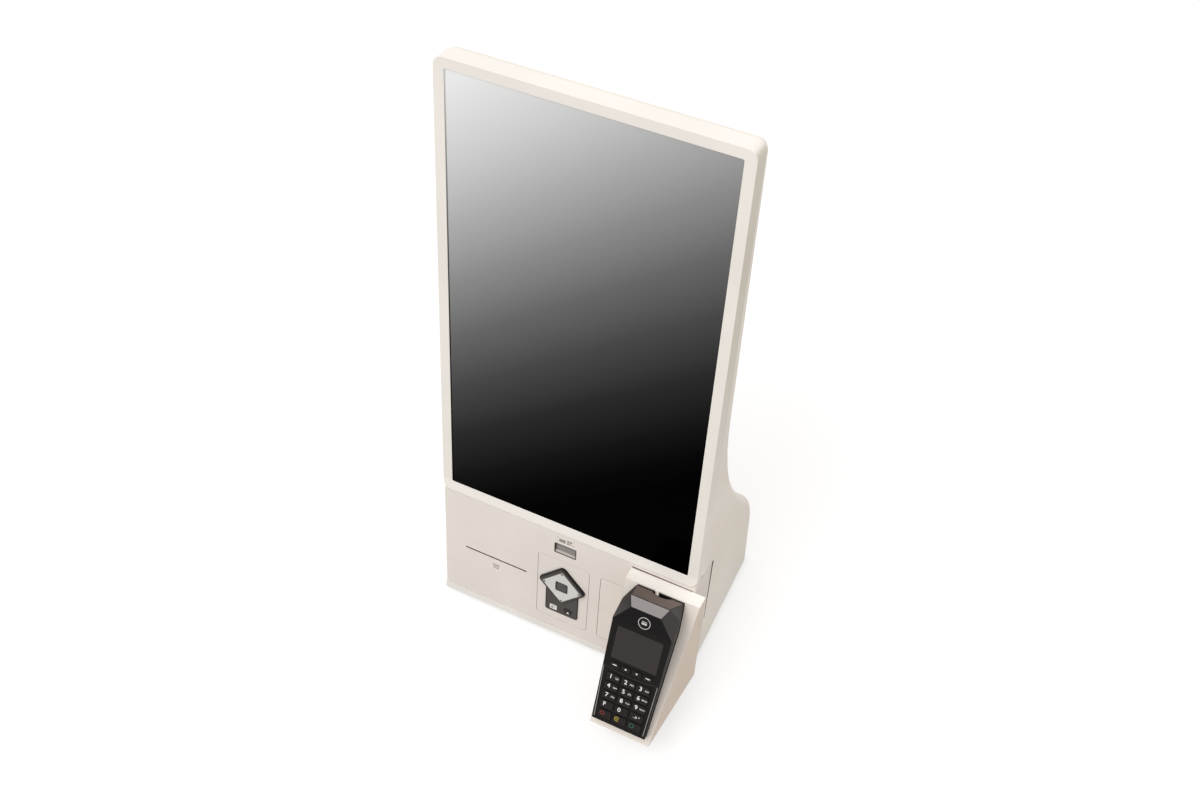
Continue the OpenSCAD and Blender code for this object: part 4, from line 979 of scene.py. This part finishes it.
def terminalTrim(look):
    ring, steps = look["ring"], look["ringSteps"]
    rings = [roundOutline(0, 0, ring, steps), roundOutline(0, 0, ring - look["ringLine"], steps),
             roundedOutline(*look["ringCard"]), barOutline(*look["ringStripe"])]
    place = onBrow(*look["ringAt"], look["ringProud"])
    addSign("browRing", rings, place, "inkPale")

    # painted highlight: the raised strips along the keypad's sides are pale grey for the glint along the
    # keypad's edge
    (topX, topDown), (footX, footDown) = look["trimTop"], look["trimFoot"]
    long = math.hypot(topX - footX, topDown - footDown)
    lean = math.degrees(math.atan2(topX - footX, footDown - topDown))
    first = startPlate("trim", look["trimWide"], long, look["trimCorner"], 3)
    openEdit(first)
    liftFaces(look["trimHigh"])
    bpy.ops.mesh.inset(thickness=look["trimRim"] * mm)
    liftFaces(look["trimCrown"])
    closeEdit()
    for name, side in (("trimLeft", -1), ("trimRight", 1)):
        strip = newObject(name, first.data.copy())
        place = onDeck(side * (topX + footX) / 2, (topDown + footDown) / 2, look["trimLift"])
        settle(strip, place @ turnZ(-side * lean))
        addPiece(strip, "door", "trimGlintGrey")
    bpy.data.objects.remove(first)

    radius, reach = look["arcRadius"], look["arcTurn"]
    arc = arcOutline(0, radius, radius, look["arcLine"], 270 - reach, 270 + reach, look["arcSteps"])
    place = onDeck(0, look["arcDown"], look["arcProud"])
    addSign("keypadLine", [arc], place, "caseSlate", thick=look["arcThick"])


terminalCase(terminalLook)
dressNode("terminal_lower_case", "terminalBase", "caseBlack", terminalLook["lowerEdge"])
dressNode("terminal_screen", "terminalLens", "displayLens", terminalLook["lensEdge"])
terminalTrim(terminalLook)

keyLook = {"edge": 0.7, "steps": 3, "start": 81.6, "rowPitch": 14.2, "columnPitch": 20.8,
           "functionDown": 63.4, "functionPitch": 15.3, "proud": 1.82, "digit": 8.6, "digitBold": 0.016,
           "small": 3.3, "more": 5.4, "digitAt": (-3.5, -1.0), "smallAt": (5.2, -0.6), "moreAt": (0, -1.0),
           "functionAt": -0.6, "dash": (0, 0, 5.6, 1.2), "arrowHalf": 1.6, "arrowFoot": 1.1,
           "arrowTip": 1.5, "box": ((0, 0, 5.8, 5.0, 1.0), (0, 0, 3.8, 3.0, 0.5)),
           "backArc": (0, 0, 2.9, 0.9, 40, 320), "backBar": (0.6, 0, 3.0, 0.9),
           "circles": ((0, 0, 3.2), (0, 0, 2.5)),
           "rows": ("1 2 3", "4 5 6", "7 8 9", "menu 0 more", "cancel clear enter"),
           "functions": "f1 f2 f3 f4", "words": {"menu": "F"} | {digit: digit for digit in "0123456789"},
           "smallWords": {"1": "QZ", "2": "ABC", "3": "DEF", "4": "GHI", "5": "JKL", "6": "MNO", "7": "PRS",
                          "8": "TUV", "9": "WXY"},
           "inks": {"cancel": "inkRed", "clear": "inkYellow", "enter": "inkGreen"}}


def keyCap(look, key):
    dressNode("key_" + key, "keyCap." + key, "keyBlack", look["edge"], look["steps"])


def keySigns(look, key, x, down):
    def spot(at):
        return onDeck(x + at[0], down + at[1], look["proud"])

    left = spot(look["digitAt"])
    signs = []
    if key in look["words"]:
        words = look["words"][key]
        signs.append(letters("sign", words, look["digit"], left, bold=look["digitBold"]))
    if key in look["smallWords"]:
        words = look["smallWords"][key]
        signs.append(letters("sign", words, look["small"], spot(look["smallAt"])))
    if key == "more":
        signs.append(letters("sign", ", # *", look["more"], spot(look["moreAt"]), bold=0.0))
    if key == "cancel":
        signs.append(flatSigns("sign", [roundedOutline(*box) for box in look["box"]], left))
    if key == "clear":
        signs.append(flatSigns("sign", [arcOutline(*look["backArc"])], left))
        signs.append(flatSigns("sign", [barOutline(*look["backBar"])], left))
    if key == "enter":
        signs.append(flatSigns("sign", [roundOutline(*circle) for circle in look["circles"]], left))
    ink = look["inks"].get(key, "inkWhite")
    addPiece(joinSigns("keySign." + key, signs), "key_" + key, ink)


def keypad(look):
    for r, row in enumerate(look["rows"]):
        for c, key in enumerate(row.split()):
            keyCap(look, key)
            keySigns(look, key, (c - 1) * look["columnPitch"], look["start"] + r * look["rowPitch"])
    dash = barOutline(*look["dash"])
    half, foot, tip = look["arrowHalf"], look["arrowFoot"], look["arrowTip"]
    rise = [(-half, -foot), (half, -foot), (0, tip)]
    fall = [(-half, foot), (0, -tip), (half, foot)]
    for i, (key, outline) in enumerate(zip(look["functions"].split(), (dash, rise, fall, dash))):
        keyCap(look, key)
        down = look["functionDown"] + look["functionAt"]
        place = onDeck((i - 1.5) * look["functionPitch"], down, look["proud"])
        addSign("keySign." + key, [outline], place, "inkWhite", "key_" + key)


keypad(keyLook)
print("stage: terminal dressed")

boardLook = {"edge": 0.25, "thick": 2.0, "clear": 0.1, "coilFrom": 118.0, "flat": 0.9}


def powerBoard(look):  # green board on steel legs, dark capacitors and a taped coil
    piece = copyNode("power_board", "powerBoard")
    wearFinish(piece, "boardGreen", "rodSteel", "capSleeve", "coilTape")
    flats = [face for face in piece.data.polygons if face.normal.z > look["flat"]]
    top = max(flats, key=lambda face: face.area).center.z
    for face in piece.data.polygons:
        if face.center.z > top + look["clear"] * mm:
            face.material_index = 3 if face.center.x > look["coilFrom"] * mm else 2
        elif face.center.z < top - look["thick"] * mm:
            face.material_index = 1
    softenEdges(piece, look["edge"])
    standFor(piece, "power_board")


powerBoard(boardLook)

# these keep their CAD solid and get a finish
plainFinish = {
    "footRubber": "rubber_feet platen_roller", "screwSteel": "case_screws bracket_screws",
    "screen": "touch_glass", "panelMetal": "lcd_panel",
    "sheetSteel": "display_backplate hinge_block door_striker printer_frame", "boardGreen": "main_board",
    "finMetal": "heat_sink", "blackPlastic": "power_inlet scanner_module",
    "darkPlastic": "print_head printer_lid", "motorCan": "stepper_motor",
    "rodSteel": "paper_spindle cutter_blade hinge_pins", "gearWhite": "drive_gear",
    "pinionBrass": "motor_pinion", "paper": "paper_roll", "magnetGrey": "door_magnet"}
for finish, dressed in plainFinish.items():
    for node in dressed.split():
        wearFinish(nodes[node], finish)
print("stage: plain nodes finished")

stageLook = {"floorSize": 14.0, "floorTone": (0.35, 0.325, 0.29, 1), "seenTone": 0.5, "seenGlow": 0.55,
             "ambient": 0.9, "ambientTone": (1, 0.99, 0.975, 1), "keyPower": 125.0,
             "keySpot": (-1.32, -2.59, 6.34), "keySize": 4.0, "keyAim": (0.0, -0.05, 0.4)}


def splitBySight(tree, out, hidden, seen):  # the second shader for the camera, and in gloss and glass
    path = addNode(tree, "LightPath")
    sight = mathNode(tree, "MAXIMUM", path.outputs["Is Camera Ray"], path.outputs["Is Glossy Ray"])
    pick = addNode(tree, "MixShader")
    link(tree, mathNode(tree, "MAXIMUM", sight, path.outputs["Is Transmission Ray"]), pick.inputs[0])
    link(tree, hidden.outputs[0], pick.inputs[1])
    link(tree, seen.outputs[0], pick.inputs[2])
    link(tree, pick.outputs[0], out.inputs["Surface"])


def makeFloor(look):
    pickNothing()
    bpy.ops.mesh.primitive_plane_add(size=look["floorSize"], location=(0, 0, 0))
    floor = bpy.context.active_object
    floor.name = "floor"
    finish = bpy.data.materials.new("pale floor")
    finish.use_nodes = True
    tree = finish.node_tree
    tree.nodes.clear()
    out = addNode(tree, "OutputMaterial")
    plain = addNode(tree, "BsdfDiffuse", Color=look["floorTone"])
    pale = addNode(tree, "BsdfDiffuse", Color=(look["seenTone"],) * 3 + (1,))
    glow = addNode(tree, "Emission", Color=(1, 1, 1, 1), Strength=look["seenGlow"])
    both = addNode(tree, "AddShader")
    link(tree, pale.outputs[0], both.inputs[0])
    link(tree, glow.outputs[0], both.inputs[1])
    splitBySight(tree, out, plain, both)
    floor.data.materials.append(finish)


def makeWorld(look):
    world = bpy.data.worlds.new("studio")
    bpy.context.scene.world = world
    world.use_nodes = True
    tree = world.node_tree
    tree.nodes.clear()
    out = addNode(tree, "OutputWorld")
    soft = addNode(tree, "Background", Color=look["ambientTone"], Strength=look["ambient"])
    white = addNode(tree, "Background", Color=(1, 1, 1, 1), Strength=1.0)
    splitBySight(tree, out, soft, white)


def makeLamp(look):
    pickNothing()
    bpy.ops.object.light_add(type="AREA", location=look["keySpot"])
    lamp = bpy.context.active_object
    lamp.name = "key softbox"
    lamp.data.energy = look["keyPower"]
    lamp.data.shape = "DISK"
    lamp.data.size = look["keySize"]
    way = Vector(look["keyAim"]) - Vector(look["keySpot"])
    lamp.rotation_euler = way.to_track_quat("-Z", "Y").to_euler()


cameraLook = {"spot": (0.55163, -0.81934, 1.80461), "turn": (35.3957, 3.7768, 26.6473), "lens": 43.2129,
              "sensor": 36.0}


def makeCamera(look):
    pickNothing()
    turn = [math.radians(a) for a in look["turn"]]
    bpy.ops.object.camera_add(location=look["spot"], rotation=turn)
    camera = bpy.context.active_object
    camera.data.lens = look["lens"]
    camera.data.sensor_width = look["sensor"]
    camera.data.sensor_fit = "HORIZONTAL"
    bpy.context.scene.camera = camera


makeFloor(stageLook)
makeWorld(stageLook)
makeLamp(stageLook)
makeCamera(cameraLook)
bpy.context.scene.view_settings.view_transform = "Standard"
print("stage: floor, light and camera set")
